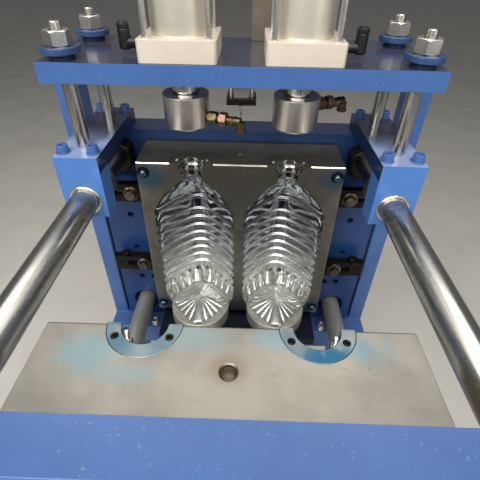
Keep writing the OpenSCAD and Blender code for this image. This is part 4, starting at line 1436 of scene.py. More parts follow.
    def screw_places(self) -> list[tuple[float, float]]:
        """Gives the places of the two screws of a ring from its own axis.

        Returns:
            X and Y of both.
        """
        circle = (self.seat_radius + self.ring_radius) / 2
        turns = (math.radians(30), math.radians(150))
        return [(circle * math.cos(t), circle * math.sin(t)) for t in turns]

    def front(self, piece: Piece, name: str) -> Piece:
        """Copies a piece of the rear half to its mirrored place on the front half."""
        return copy_of(piece, name, (0, self.front_y, 0), FLIP_Y)

    def build(self) -> None:
        """Models and dresses the whole mould."""
        rear = self.half(self.pin_radius, self.sink_radius)
        rear.name = "rear_half_block"
        source = self.half(self.bush_radius, self.bush_radius + 0.3)
        front = self.front(source, "front_half_block")
        bpy.data.objects.remove(source)
        inside = [MIRROR_STEEL, EDGE_HIGHLIGHT, BLACK_OXIDE, RIB_HIGHLIGHT]
        dress(rear, [GROUND_STEEL, *inside], FRAME_BODY, "mould_steel", "rear_mould_half")
        face_y = self.front_y
        face_finish(front, 5, lambda m, n: n.y > 0.99 and m.y > face_y - 0.5)
        finishes = [LAPPED_STEEL, *inside, GROUND_STEEL]
        dress(front, finishes, CARRIAGE_BODY, "mould_steel", "front_mould_half")
        places = [(x, 0, 0) for x in self.axes]
        rear_rings = spread(self.neck_ring(), "rear_ring_pair", places)
        front_rings = self.front(rear_rings, "front_ring_pair")
        dress(rear_rings, [GROUND_STEEL, RING_BOWL], FRAME_BODY, "turned_steel", "rear_neck_rings")
        dress(
            front_rings, [BLUED_RING, RING_BOWL], CARRIAGE_BODY, "turned_steel", "front_neck_rings"
        )
        heads = [
            cap_screw("ring_screw", self.screw_radius, (x + dx, dy, -4.1))
            for x in self.axes
            for dx, dy in self.screw_places()
        ]
        rear_heads = joined("rear_ring_screw_heads", heads)
        front_heads = self.front(rear_heads, "front_ring_screw_heads")
        dress(rear_heads, [BRIGHT_ZINC], FRAME_BODY, "chrome_bar", "rear_ring_screws")
        dress(front_heads, [BLACK_OXIDE], CARRIAGE_BODY, "black_oxide", "front_ring_screws")
        self.pins()

    def pins(self) -> None:
        """Models the guide pins of the rear half and the bushes of the front half."""
        r = self.pin_radius
        profile = [
            (r - 0.4, -26), (r, -25.6), (r, 2.4), (r - 0.3, 3.8), (r - 1.0, 5.2), (r - 2.2, 6.6),
            (r - 3.6, 7.5), (r - 5.2, 8.0), (r - 6.6, 8.1),
        ]
        bore, b = r + 0.05, self.bush_radius
        bush = [(bore, 0.2), (b - 0.4, 0), (b, 0.4), (b, 26), (bore, 26), (bore, 0.2)]
        pins, bushes = [], []
        for x, z in self.pin_places:
            pins.append(turned("pin", profile, (x, 0, z), Facing.FRONT, 40))
            bushes.append(turned("bush", bush, (x, 0, z), Facing.REAR, 40))
        rear_pins = soften(joined("guide_pin_set", pins), 0.2, 1)
        source = soften(joined("bush_set", bushes), 0.2, 1)
        front_bushes = self.front(source, "guide_bush_set")
        bpy.data.objects.remove(source)
        dress(rear_pins, [PIN_STEEL], FRAME_BODY, "chrome_bar", "guide_pins")
        dress(front_bushes, [YELLOW_ZINC], CARRIAGE_BODY, "yellow_zinc", "guide_bushes")


@dataclass(frozen=True)
class BottleBases:
    """The two base inserts: skimmed discs that carry the polished petal forms.

    Attributes:
        radius: Radius of the discs.
        top: Height of the disc tops.
        bottom: Height of the disc undersides.
        petal_radius: Half diagonal of the petal form.
        petal_height: Height of its middle.
        corner_petal: Half angle of the four broad corner petals, in degrees.
        groove: Depth of the grooves between petals.
        corner_power: Exponent that squares the form's outline.
        corner_reach: Where the corners are cut, as a share of the half width.
        rim: Height of the rim.
        lift: Height of the dome's skirt above the disc.
        dome_power: Exponent of the dome's fall towards the rim.
        vents: Turns of the two holes in a disc's side, in degrees from right.
    """

    radius: float = 60.6
    top: float = -338.0
    bottom: float = -368.0
    petal_radius: float = 57.0
    petal_height: float = 22.0
    corner_petal: float = 18.6
    groove: float = 3.0
    corner_power: float = 24.0
    corner_reach: float = 1.16
    rim: float = 2.2
    lift: float = 3.6
    dome_power: float = 1.35
    vents: tuple[float, float] = (-118.0, -62.0)

    def petal_wave(self, angle: float) -> float:
        """Gives a petal's crown across its width.

        Args:
            angle: Angle round the insert's axis.

        Returns:
            0 in a groove and 1 on the crest.
        """
        turn = math.degrees(angle) % 90
        turn = min(turn, 90 - turn)
        if turn < self.corner_petal:
            share = turn / self.corner_petal
            return math.sqrt(max(0.0, 1 - share * share))
        width = (90 - 2 * self.corner_petal) / 3
        across = ((math.degrees(angle) % 90) - self.corner_petal) % width / width
        return math.sqrt(max(0.0, 1 - (2 * across - 1) ** 2)) * 0.8

    def petals(self, name: str, x: float) -> Piece:
        """Models one petal form: rings of points pulled into a pleated dome.

        Args:
            name: Name of the piece.
            x: Place of its axis.

        Returns:
            The petal form.
        """
        shares = [1.0, 0.97, 0.9, 0.8, 0.68, 0.55, 0.42, 0.3, 0.2, 0.12, 0.06]
        rings = [(self.petal_radius, -1.0), (self.petal_radius, 0.0)]
        rings += [(self.petal_radius * s, 1.0 + i) for i, s in enumerate(shares[1:])]
        piece = turned(name, rings, sides=216)
        power = self.corner_power
        for point in piece.data.vertices:
            local = (point.co - DATUM) / MM
            angle = math.atan2(local.y, local.x)
            share = math.hypot(local.x, local.y) / self.petal_radius
            c, s = abs(math.cos(angle)), abs(math.sin(angle))
            edge = (1 + ((c + s) / self.corner_reach) ** power) ** (-1 / power)
            far = self.petal_radius * min(share, 1.0) * edge
            if local.z <= 0.01:
                lift = local.z
            else:
                dome = (self.petal_height - 3.0) * (1 - min(share, 1.0) ** self.dome_power)
                dip = self.groove * (1 - self.petal_wave(angle)) * min(1.0, 1.6 * share)
                lift = max(self.rim, dome + self.lift - dip * (0.35 + 0.65 * share))
            point.co = at(x + far * math.cos(angle), far * math.sin(angle), self.top + lift)
        smooth(piece, 50)
        return piece

    def disc(self, name: str, x: float) -> Piece:
        """Models one disc with a broken rim and two small holes in its side.

        Args:
            name: Name of the piece.
            x: Place of its axis.

        Returns:
            The disc.
        """
        r, tall = self.radius, self.top - self.bottom
        rings = [(r - 0.6, 0), (r, 0.6), (r, tall - 1.2), (r - 1.2, tall)]
        piece = turned(name, rings, (x, 0, self.bottom), sides=128)
        for turn in self.vents:
            way = math.radians(turn)
            spin = Euler((math.pi / 2, 0, way + math.pi / 2)).to_matrix().to_4x4()
            start = (x + (r - 8) * math.cos(way), (r - 8) * math.sin(way), self.top - 12)
            cut(piece, stand(rod("vent_tool", 2.0, (0, 0, 0), 30, sides=24), start, spin))
        return soften(piece, 0.3, 1)

    def build(self) -> None:
        """Models and dresses both inserts and their plate."""
        finishes = [CAST_ALUMINIUM, POLISHED_ALUMINIUM, BLACK_OXIDE]
        pieces = []
        for side in Side:
            form = self.petals("petal_form", side.x)
            disc = self.disc("insert_disc", side.x)
            # The form's skirt and undersides take near-black oxide: a painted shade line where the
            # form stands on the disc.
            for face in form.data.polygons:
                face.material_index = 1 if face.normal.z > 0.1 else 2
            pieces += [fit_finishes(disc, *finishes), fit_finishes(form, *finishes)]
        inserts = joined("petal_base_inserts", pieces)
        dress(inserts, finishes, BASE_BODY, "polished_aluminium", "base_inserts")
        plate = softened_copy("insert_carrier_plate", "base_plate", 1.0)
        dress(plate, [SHADE_PAINTED_PLATE], BASE_BODY, "turned_steel", "base_plate")


@dataclass(frozen=True)
class MouldClamps:
    """The strap clamps that hold the mould halves, with their bolts and jack screws.

    Attributes:
        inner: Distance of the straps' inner ends from the middle.
        length: Length of a strap.
        height: Height of a strap.
        thickness: Thickness of a strap.
        face_y: Place of the straps' faces along Y.
        levels: Heights of the strap middles.
        bolt_in: Distance of the bolt from the inner end.
        knob_in: Distance of the screw head on a lower strap from the outer end.
        slot: Length of the bolt slot.
        slot_radius: Radius of its ends.
        jack_in: Distance of the jack screw from the outer end.
    """

    inner: float = 159.5
    length: float = 112.0
    height: float = 40.0
    thickness: float = 15.0
    face_y: float = 60.0
    levels: tuple[float, float] = STRAP_LEVELS
    bolt_in: float = 49.0
    knob_in: float = 27.0
    slot: float = 30.0
    slot_radius: float = 6.3
    jack_in: float = 12.0

    def strap(self, z: float) -> Piece:
        """Models the right-hand strap at one height with its slot and jack hole.

        Args:
            z: Height of its middle.

        Returns:
            The strap.
        """
        outer = self.inner + self.length
        start, back = self.face_y - 1, self.face_y + self.thickness
        half, through, r = self.height / 2, self.thickness + 2, self.slot_radius
        piece = slab("strap", (self.inner, self.face_y, z - half), (outer, back, z + half))
        soften(piece, 1.6, 2)
        bolt = self.inner + self.bolt_in
        for x in (bolt, bolt + self.slot):
            cut(piece, rod("slot_end_tool", r, (x, start, z), through, Facing.REAR, 40))
        cut(piece, slab("slot_tool", (bolt, start, z - r), (bolt + self.slot, back + 1, z + r)))
        jack = (outer - self.jack_in, start, z)
        cut(piece, rod("jack_tool", 6.15, jack, through, Facing.REAR, 32))
        smooth(piece)
        return piece

    def bolt(self, z: float) -> Piece:
        """Models a flange-head bolt in the strap's slot.

        Args:
            z: Height of its axis.

        Returns:
            The bolt.
        """
        place = (self.inner + self.bolt_in, self.face_y, z)
        rings = [(14.4, 0), (15.4, 0.6), (15.4, 2.2), (11.6, 4.0)]
        flange = soften(turned("bolt_flange", rings, place, Facing.FRONT, 64), 0.3, 2)
        head = hexagon("bolt_head", 18.6, 9.2, (place[0], place[1] - 3.0, z), Facing.FRONT)
        shank = rod("bolt_shank", 6, place, self.thickness + 17, Facing.REAR, 32)
        return joined("strap_bolt", [flange, head, shank])

    def jack(self, z: float) -> Piece:
        """Models the jack screw that props the strap's outer end off the plate.

        Args:
            z: Height of its axis.

        Returns:
            The screw with its foot.
        """
        x = self.inner + self.length - self.jack_in
        stem = rod("jack_stem", 6, (x, self.face_y - 2, z), self.thickness + 19, Facing.REAR, 32)
        rings = [(8.8, 0), (10, 1.2), (10, 6)]
        foot = turned("jack_foot", rings, (x, self.face_y + 32, z), Facing.FRONT, 40)
        cut(stem, rod("socket_tool", 3, (x, self.face_y - 3, z), 5, Facing.REAR, 6))
        return joined("jack_screw", [soften(stem, 0.4, 1), soften(foot, 0.4, 1)])

    def knob(self, z: float) -> Piece:
        """Models the black screw head that stands on top of a lower strap.

        Args:
            z: Height of the strap's middle.

        Returns:
            The screw head.
        """
        x = self.inner + self.length - self.knob_in
        foot = (x, self.face_y + self.thickness / 2, z + self.height / 2 - 0.5)
        rings = [(4.6, 0), (4.6, 2.5), (7.0, 3.0), (7.4, 3.6), (7.4, 8.6), (6.6, 9.6)]
        return soften(turned("strap_knob", rings, foot, sides=40), 0.3, 1)

    def all_four(self, name: str, maker: Callable[[float], Piece]) -> Piece:
        """Makes a piece at both heights and on both sides.

        Args:
            name: Name of the joined piece.
            maker: Makes the right-hand piece at one height.

        Returns:
            The four of them as one object.
        """
        right = [maker(z) for z in self.levels]
        left = [copy_of(piece, piece.name + "_left", turn=FLIP_X) for piece in right]
        return joined(name, right + left)

    def build(self, mould: Mould) -> None:
        """Models the clamps once and copies them to the front half.

        Args:
            mould: The mould, which knows where the front half stands.
        """
        straps = self.all_four("rear_strap_set", self.strap)
        bolts = self.all_four("rear_strap_bolt_set", self.bolt)
        jacks = self.all_four("jack_screw_set", self.jack)
        knob = self.knob(self.levels[1])
        knobs = [knob, copy_of(knob, "knob_left", turn=FLIP_X)]
        jacks = joined("jack_screw_set", [jacks, *knobs])
        fronts = [mould.front(straps, "front_straps"), mould.front(jacks, "front_jacks")]
        front_straps = joined("front_strap_set", fronts)
        front_bolts = mould.front(bolts, "front_strap_bolt_set")
        dress(straps, [BLACK_OXIDE], FRAME_BODY, "black_oxide", "rear_mould_clamps")
        dress(bolts, [OILED_BOLT], FRAME_BODY, "yellow_zinc", "rear_clamp_bolts")
        dress(jacks, [BLACK_OXIDE], FRAME_BODY, "black_oxide", "jack_screws")
        dress(front_straps, [BLACK_OXIDE], CARRIAGE_BODY, "black_oxide", "front_mould_clamps")
        dress(front_bolts, [OILED_BOLT], CARRIAGE_BODY, "yellow_zinc", "front_clamp_bolts")


# ---- blowing head


@dataclass(frozen=True)
class BlowingHead:
    """One nozzle: its turned sleeve, its hollow rod and its air fitting.

    Attributes:
        side: The bottle axis that it serves.
        sleeve_radius: Radius of the sleeve.
        sleeve_foot: Height of the sleeve's underside.
        sleeve_height: Height of the sleeve.
        rod_radius: Radius of the hollow rod.
        bore: Radius of the bore for the stretch rod.
        piston_radius: Radius of the piston at the rod's head.
        fitting_z: Height of the air fitting above the sleeve's foot.
        fitting_turn: Turn of the fitting about the sleeve, in degrees from right.
    """

    side: Side
    sleeve_radius: float = 33.5
    sleeve_foot: float = 69.0
    sleeve_height: float = 47.5
    rod_radius: float = 19.5
    bore: float = 8.0
    piston_radius: float = 37.9
    fitting_z: float = 14.0
    fitting_turn: float = -16.0

    @property
    def body(self) -> str:
        """The CAD body of this nozzle."""
        return f"{self.side.word}_nozzle"

    def sleeve(self) -> Piece:
        """Models the sleeve: chamfered foot, recessed top and a bell for the blank.

        Returns:
            The sleeve.
        """
        r, tall, bell, seat = self.sleeve_radius, self.sleeve_height, 17.8, self.rod_radius + 0.05
        rings = [
            (bell + 1.2, 0), (r - 2.4, 0), (r, 2.4), (r, tall - 0.8), (r - 0.8, tall),
            (r - 5.0, tall), (r - 5.6, tall - 1.6), (seat, tall - 1.6), (seat, tall - 3),
            (self.bore, tall - 3), (self.bore, 9.5), (bell, 8.0), (bell, 1.2), (bell + 1.2, 0),
        ]
        foot = (self.side.x, 0, self.sleeve_foot)
        return soften(turned(f"{self.side.word}_sleeve_turning", rings, foot, sides=128), 0.3, 2)

    def fitting(self) -> Piece:
        """Models the air fitting: adaptor, two hexagons and an elbow that turns down.

        Returns:
            The fitting, with finish 0 on its brass and 1 on the copper-plated collar.
        """
        r = self.sleeve_radius
        stem = [(6.5, r - 6), (6.5, r + 3), (5.6, r + 3.4), (5.6, r + 46), (6.2, r + 50)]
        mouth = [
            (6.2, -2), (6.2, -13), (7.6, -13.4), (7.6, -16), (6.9, -16.8), (4.6, -16.8), (4.6, -9),
        ]
        parts = [
            turned("adaptor", stem, (0, 0, 0), Facing.RIGHT, 40),
            hexagon("adaptor_nut", 17, 13, (r + 1.5, 0, 0), Facing.RIGHT),
            hexagon("collar_nut", 18, 11, (r + 18, 0, 0), Facing.RIGHT),
        ]
        face_finish(parts[2], 1)
        parts += [self.bend(r), turned("drop", mouth, (r + 50, 0, 0), sides=40)]
        for part in parts:
            fit_finishes(part, BRASS, COPPER)
        piece = joined(f"{self.side.word}_air_fitting_brass", parts)
        swing = Matrix.Rotation(math.radians(self.fitting_turn), 4, "Z")
        stand(piece, (self.side.x, 0, self.sleeve_foot + self.fitting_z), swing)
        return soften(piece, 0.25, 1)

    def bend(self, reach: float) -> Piece:
        """Models the elbow's bend by spinning a disc through a quarter turn.

        Args:
            reach: The sleeve's radius, from which the fitting is measured.

        Returns:
            The bend, from level to straight down.
        """
        clear_bench()
        bpy.ops.mesh.primitive_circle_add(
            vertices=32,
            radius=6.4 * MM,
            fill_type="NGON",
            location=at(reach + 43, 0, 0),
            rotation=(0, math.pi / 2, 0),
        )
        piece = settle(bpy.context.object, "bend")
        edit_whole(piece)
        bpy.ops.mesh.spin(
            steps=10, angle=math.pi / 2, center=at(reach + 43, 0, -7), axis=(0, 1, 0)
        )
        bpy.ops.object.mode_set(mode="OBJECT")
        mend_skin(piece)
        return piece

    def build(self) -> None:
        """Models and dresses the nozzle."""
        word = self.side.word
        sleeve = self.sleeve()
        dress(sleeve, [TURNED_STEEL], self.body, "turned_steel", f"{word}_nozzle_sleeve")
        dress(self.fitting(), [BRASS, COPPER], self.body, "brass", f"{word}_air_fitting")
        foot = self.sleeve_foot + self.sleeve_height - 3
        tall = span(f"{word}_nozzle_rod")[1].z - foot
        r, bore, piston = self.rod_radius, self.bore, self.piston_radius
        rings = [
            (bore, 0), (r, 0), (r, tall - 16), (piston, tall - 16), (piston, tall), (bore, tall),
            (bore, 0),
        ]
        shaft = turned(f"{word}_hollow_rod", rings, (self.side.x, 0, foot), sides=96)
        dress(soften(shaft, 0.3, 1), [HARD_CHROME], self.body, "chrome_bar", f"{word}_nozzle_rod")


# ---- air cylinders


@dataclass(frozen=True)
class AirCylinder:
    """One nozzle cylinder on the bridge, with its two caps, barrel and elbows.

    Attributes:
        side: The bottle axis that it stands over.
        cap: Side of the square caps.
        chamfer: Width of the corner chamfers.
        rod_pitch: Distance between the tie rods.
        barrel_radius: Radius of the barrel.
    """

    side: Side
    cap: float = 99.0
    chamfer: float = 3.0
    rod_pitch: float = ROD_PITCH
    barrel_radius: float = 39.0

    def cap_plate(self, name: str, node: str, bore: float) -> Piece:
        """Models a cap: a square plate, corners cut, a bore and rod holes.

        Args:
            name: Name of the piece.
            node: The CAD node that gives its height.
            bore: Radius of the hole through its middle.

        Returns:
            The cap.
        """
        low, high = span(node)
        half = self.cap / 2
        piece = slab(name, (self.side.x - half, -half, low.z), (self.side.x + half, half, high.z))
        bevel_edges(piece, self.chamfer, lambda a, b: abs(a.z - b.z) > 1)
        soften(piece, 0.6, 2)
        tall = high.z - low.z
        cut(piece, rod("bore_tool", bore, (self.side.x, 0, low.z - 1), tall + 2, sides=64))
        for dx in (-1, 1):
            for dy in (-1, 1):
                foot = (self.side.x + dx * self.rod_pitch / 2, dy * self.rod_pitch / 2, low.z - 1)
                cut(piece, rod("rod_tool", 4.0, foot, tall + 2, sides=32))
        smooth(piece, flat_over=300)
        return piece

    def build(self) -> None:
        """Models and dresses the caps and the barrel."""
        word = self.side.word
        for level, bore in (("lower", 19.55), ("upper", 6.3)):
            node = f"{word}_{level}_cap"
            cap = self.cap_plate(f"{word}_{level}_cylinder_cap", node, bore)
            dress(cap, [WHITE_ENAMEL], FRAME_BODY, "white_enamel", node)
        low, high = span(f"{word}_barrel")
        r, tall = self.barrel_radius, high.z - low.z
        groove, bore = r - 0.5, r - 3
        rings = [
            (bore, 0), (r, 0), (r, 0.6), (groove, 1.2), (groove, 2.4), (r, 3), (r, tall - 3),
            (groove, tall - 2.4), (groove, tall - 1.2), (r, tall - 0.6), (r, tall), (bore, tall),
            (bore, 0),
        ]
        barrel = turned(f"{word}_cylinder_barrel", rings, (self.side.x, 0, low.z), sides=128)
        soften(barrel, 0.1, 1)
        dress(barrel, [BARREL_ALUMINIUM], FRAME_BODY, "white_enamel", f"{word}_barrel")
        node = f"{word}_stretch_cylinder"
        tower = softened_copy(f"{word}_stretch_cylinder_body", node, 0.8)
        dress(tower, [CAST_ALUMINIUM], FRAME_BODY, "cast_aluminium", node)


@dataclass(frozen=True)
class PushInElbows:
    """The four push-in elbows at the outer sides of the cylinder caps.

    Attributes:
        foot_x: Distance of the caps' outer faces from the middle.
        reach: Distance from the cap to the upright barrel.
        radius: Radius of the barrel.
        height: Height of the barrel.
        hexagon_across: Width of the brass foot across its flats.
    """

    foot_x: float = 129.5
    reach: float = 27.0
    radius: float = 8.0
    height: float = 34.0
    hexagon_across: float = 16.0

    def elbow(self) -> Piece:
        """Models one elbow at the datum, its foot along X and its barrel upright.

        Returns:
            The elbow, with finish 0 on its nylon and 1 on its brass foot.
        """
        r, tall = self.radius, self.height - self.radius
        foot = hexagon("elbow_foot", self.hexagon_across, 8, (0, 0, 0), Facing.RIGHT)
        neck = turned("elbow_neck", [(r - 1, 0), (r - 1, self.reach)], (0, 0, 0), Facing.RIGHT, 40)
        rings = [
            (r - 2, -r), (r, -r + 2), (r, tall - 9), (r - 0.5, tall - 8.6), (r - 0.5, tall - 7.8),
            (r, tall - 7.4), (r, tall - 2.4), (r - 1, tall - 1.6), (r - 2.4, tall - 1.6),
            (r - 2.4, tall), (r - 3.4, tall), (r - 4.4, tall - 1), (r - 4.4, tall - 12),
        ]
        barrel = turned("elbow_barrel", rings, (self.reach, 0, 0), sides=48)
        for piece in (foot, neck, barrel):
            fit_finishes(piece, BLACK_NYLON, BRASS)
        face_finish(foot, 1)
        return soften(joined("elbow", [foot, neck, barrel]), 0.3, 2)

    def build(self) -> None:
        """Models one elbow and copies it to the lower and the upper caps on both sides."""
        first = self.elbow()
        places = []
        for word in ("lower", "upper"):
            low, high = span(f"left_{word}_cap")
            level = (low.z + high.z) / 2
            places += [(self.foot_x, 0, level), (-self.foot_x, 0, level)]
        elbows = spread(first, "push_in_elbow_set", places, (None, FLIP_X) * 2)
        dress(elbows, [BLACK_NYLON, BRASS], FRAME_BODY, "black_oxide", "cap_elbows")


@dataclass(frozen=True)
class CylinderRods:
    """The tie rods of both nozzle cylinders, with their nuts.

    Attributes:
        radius: Radius of a rod.
        pitch: Distance between the rods of one cylinder.
    """

    radius: float = 4.0
    pitch: float = ROD_PITCH

    def build(self) -> None:
        """Models one rod and copies it to its eight places."""
        low, high = span("cylinder_tie_rods")
        r, tall = self.radius, high.z - low.z
        rings = [(r - 0.6, 0), (r, 0.6), (r, tall - 0.8), (r - 0.8, tall)]
        bar = turned("rod_bar", rings, (0, 0, low.z), sides=32)
        nut = hexagon("rod_nut", 13, 6.4, (0, 0, high.z - 9), bore=3.9)
        first = joined("rod_with_nut", [bar, nut])
        places = [
            (side.x + dx * self.pitch / 2, dy * self.pitch / 2, 0)
            for side in Side
            for dx in (-1, 1)
            for dy in (-1, 1)
        ]
        piece = spread(first, "cylinder_rod_set", places)
        smooth(piece)
        dress(piece, [BRIGHT_ZINC], FRAME_BODY, "chrome_bar", "cylinder_tie_rods")


# ---- bridge, shoulders


@dataclass(frozen=True)
class Bridge:
    """The bridge over the mould: plate, four columns, washers and nuts.

    Attributes:
        column_x: Distance of the columns from the middle.
        column_y: Places of the front and rear columns.
        column_radius: Radius of the columns.
        neck_radius: Radius of their threaded ends.
        washer_radius: Radius of the stepped washers.
        nut_across: Width of the nuts across their flats.
        nut_step: Turn from each nut to the next, in degrees.
    """

    column_x: float = COLUMN_X
    column_y: tuple[float, float] = (-32.0, 86.0)
    column_radius: float = 10.0
    neck_radius: float = 8.0
    washer_radius: float = 24.5
    nut_across: float = 30.0
    nut_step: float = 17.0

    @property
    def places(self) -> list[Point]:
        """Places of the four columns."""
        return [(way * self.column_x, y, 0) for way in (-1, 1) for y in self.column_y]

    def build(self) -> None:
        """Models and dresses the bridge."""
        plate = softened_copy("bridge_slab", "bridge_plate", 1.4)
        dress(plate, [BRIDGE_ENAMEL], FRAME_BODY, "blue_paint", "bridge_plate")
        low, high = span("columns")
        under, top = (corner.z for corner in span("bridge_plate"))
        r, neck = self.column_radius, self.neck_radius
        thread = []
        z = top + 33.5
        while z < high.z - 1.5:
            thread += [(neck, z), (neck - 0.7, z + 0.6)]
            z += 1.5
        rings = [(r, low.z), (r, under), (neck, under), *thread, (neck - 1, high.z)]
        w, bore = self.washer_radius, neck + 0.1
        washer = [
            (bore, 0), (w - 8, 0), (w - 8, 6), (w - 7, 7), (w - 1, 7), (w, 8), (w, 14.8),
            (w - 1.2, 16), (bore, 16), (bore, 0),
        ]
        first = soften(turned("column", rings), 0.12, 1)
        columns = spread(first, "column_set", self.places)
        dress(columns, [REFLECTION_BANDED_CHROME], FRAME_BODY, "chrome_bar", "columns")
        first = soften(turned("washer", washer, (0, 0, top), sides=96), 0.5, 2)
        washers = spread(first, "washer_set", self.places)
        # The lower step of each washer takes the navy paint: painted shade under the flange.
        face_finish(washers, 1, lambda m, n: m.z < top + 7.2 and abs(n.z) < 0.9)
        dress(washers, [WASHER_ENAMEL, INNER_ENAMEL], FRAME_BODY, "blue_paint", "column_washers")
        first = hexagon("nut", self.nut_across, 18, (0, 0, top + 16), bore=neck)
        turns = [Matrix.Rotation(math.radians(self.nut_step * i), 4, "Z") for i in range(4)]
        nuts = spread(first, "nut_set", self.places, turns)
        dress(nuts, [BRIGHT_ZINC], FRAME_BODY, "chrome_bar", "column_nuts")


@dataclass(frozen=True)
class Shoulders:
    """Bearing blocks, shoulder plates, their screws and the bushes round the tie bars.

    Attributes:
        bar_x: Distance of the tie bars from the middle.
        bar_z: Height of the upper tie bars.
        bar_radius: Radius of the tie bars.
        bush_radius: Radius of the bushes in the blocks.
        collar_radius: Radius of the collars behind the blocks.
        screw_dx: Distance of the screws from the column line.
        screw_y: Places of the front and rear screws.
    """

    bar_x: float = BAR_X
    bar_z: float = BAR_LEVELS[0]
    bar_radius: float = BAR_RADIUS
    bush_radius: float = 24.5
    collar_radius: float = 29.0
    screw_dx: float = 21.5
    screw_y: tuple[float, float] = (-56.0, 110.0)

    def bushes(self) -> Piece:
        """Models the two bushes with their bright lips and rear collars.

        Returns:
            Both bushes as one object.
        """
        low, high = span("block_bushes")
        b, r, c = self.bush_radius, self.bar_radius, self.collar_radius
        step = span("left_bearing_block")[1].y - low.y
        tall = high.y - low.y
        rings = [
            (r, 0), (b - 1.2, 0), (b, 1.0), (b, 3.0), (b, step), (c, step), (c, tall - 1),
            (c - 1, tall), (r, tall), (r, 0),
        ]
        first = turned("bush", rings, (-self.bar_x, low.y, self.bar_z), Facing.REAR, 96)
        soften(first, 0.4, 2)
        second = copy_of(first, "bush_right", (2 * self.bar_x, 0, 0))
        return joined("tie_bar_bush_set", [first, second])

    def build(self) -> None:
        """Models and dresses the shoulders."""
        parts = (("bearing_block", BLOCK_ENAMEL), ("shoulder_plate", SHOULDER_ENAMEL))
        for word in ("left", "right"):
            for part, paint in parts:
                piece = softened_copy(f"{word}_{part}_casting", f"{word}_{part}", 1.4)
                if part == "shoulder_plate":
                    # Inner faces take the navy paint as painted shade; front, rear and outer faces
                    # take the brighter block paint as painted light.
                    face_finish(piece, 1, lambda m, n: n.x * m.x < -100 and abs(m.x) < 200.5)
                    face_finish(piece, 2, lambda m, n: abs(n.y) > 0.6 or n.x * m.x > 100)
                finishes = [paint, INNER_ENAMEL, BLOCK_ENAMEL]
                dress(piece, finishes, FRAME_BODY, "blue_paint", f"{word}_{part}")
        dress(self.bushes(), [TURNED_STEEL], FRAME_BODY, "turned_steel", "block_bushes")
        top = span("left_shoulder_plate")[1].z
        rings = [(9.4, 0), (10, 0.5), (10, 1.6), (9.6, 2)]
        washer = turned("washer", rings, (0, 0, top), sides=48)
        head = cap_screw("head", 8, (0, 0, top + 2))
        first = joined("shoulder_screw", [washer, head])
        places = [
            (side.value * COLUMN_X + dx, y, 0)
            for side in Side
            for dx in (-self.screw_dx, self.screw_dx)
            for y in self.screw_y
        ]
        screws = spread(first, "shoulder_screw_set", places)
        dress(screws, [BLUE_ENAMEL], FRAME_BODY, "blue_paint", "shoulder_screws")


# ---- bars and plates


@dataclass(frozen=True)
class TieBars:
    """The four tie bars with their threaded ends and nuts.

    Attributes:
        radius: Radius of the bars.
        x: Distance from the middle.
        levels: Heights of the upper and lower bars.
        across: Width of the nuts across their flats.
        lock_turn: Turn of the black lock nuts, in degrees.
    """

    radius: float = BAR_RADIUS
    x: float = BAR_X
    levels: tuple[float, float] = BAR_LEVELS
    across: float = 65.0
    lock_turn: float = 6.0

    def bars(self, name: str, node: str) -> Piece:
        """Models a pair of bars with turned-down, grooved ends.

        Args:
            name: Name of the piece.
            node: The CAD node that gives their length and height.

        Returns:
            The pair.
        """
        low, high = span(node)
        tall, r = high.y - low.y, self.radius
        rings = [(r - 1.6, 0), (r, 1.6)]
        for start in (5, tall - 12.5):
            for i in range(3):
                rings += [(r, start + 2.4 * i), (r - 0.9, start + 0.8 + 2.4 * i)]
        rings += [(r, tall - 1.8), (r - 1.6, tall)]
        middle = (low.z + high.z) / 2
        first = turned("bar", rings, (-self.x, low.y, middle), Facing.REAR, 96)
        smooth(first)
        return joined(name, [first, copy_of(first, "bar_right", (2 * self.x, 0, 0))])

    def nut(self) -> Piece:
        """Models one tie bar nut on its washer, at the datum, pointing up.

        Returns:
            The nut.
        """
        r = self.radius
        rings = [(r, 0), (36.5, 0), (36.5, 5.2), (35.7, 6), (r, 6), (r, 0)]
        washer = soften(turned("nut_washer", rings, sides=96), 0.3, 1)
        return joined("tie_nut", [washer, hexagon("body", self.across, 34, (0, 0, 6), bore=r)])

    def build(self) -> None:
        """Models and dresses bars and nuts."""
        for word, finish in (("upper", DULLED_CHROME), ("lower", GROUND_BAR)):
            node = f"{word}_tie_bars"
            pair = self.bars(f"{word}_bar_pair", node)
            dress(pair, [finish], FRAME_BODY, "chrome_bar", node)
        front_y = span("front_end_plate")[0].y
        plate_y, rear_y = (corner.y for corner in span("rear_platen"))
        places = [
            (x, y, z) for x in (-self.x, self.x) for z in self.levels for y in (front_y, rear_y)
        ]
        nuts = spread(self.nut(), "tie_nut_set", places, (Facing.FRONT.turn, Facing.REAR.turn) * 4)
        dress(nuts, [YELLOW_ZINC], FRAME_BODY, "yellow_zinc", "tie_bar_nuts")
        turn = Facing.FRONT.turn @ Matrix.Rotation(math.radians(self.lock_turn), 4, "Z")
        lock = hexagon("lock_nut", self.across, 32, (0, 0, 0), bore=self.radius)
        places = [(x, plate_y, self.levels[0]) for x in (-self.x, self.x)]
        locks = spread(lock, "black_lock_nut_set", places, (turn, turn))
        dress(locks, [BLACK_OXIDE], FRAME_BODY, "black_oxide")


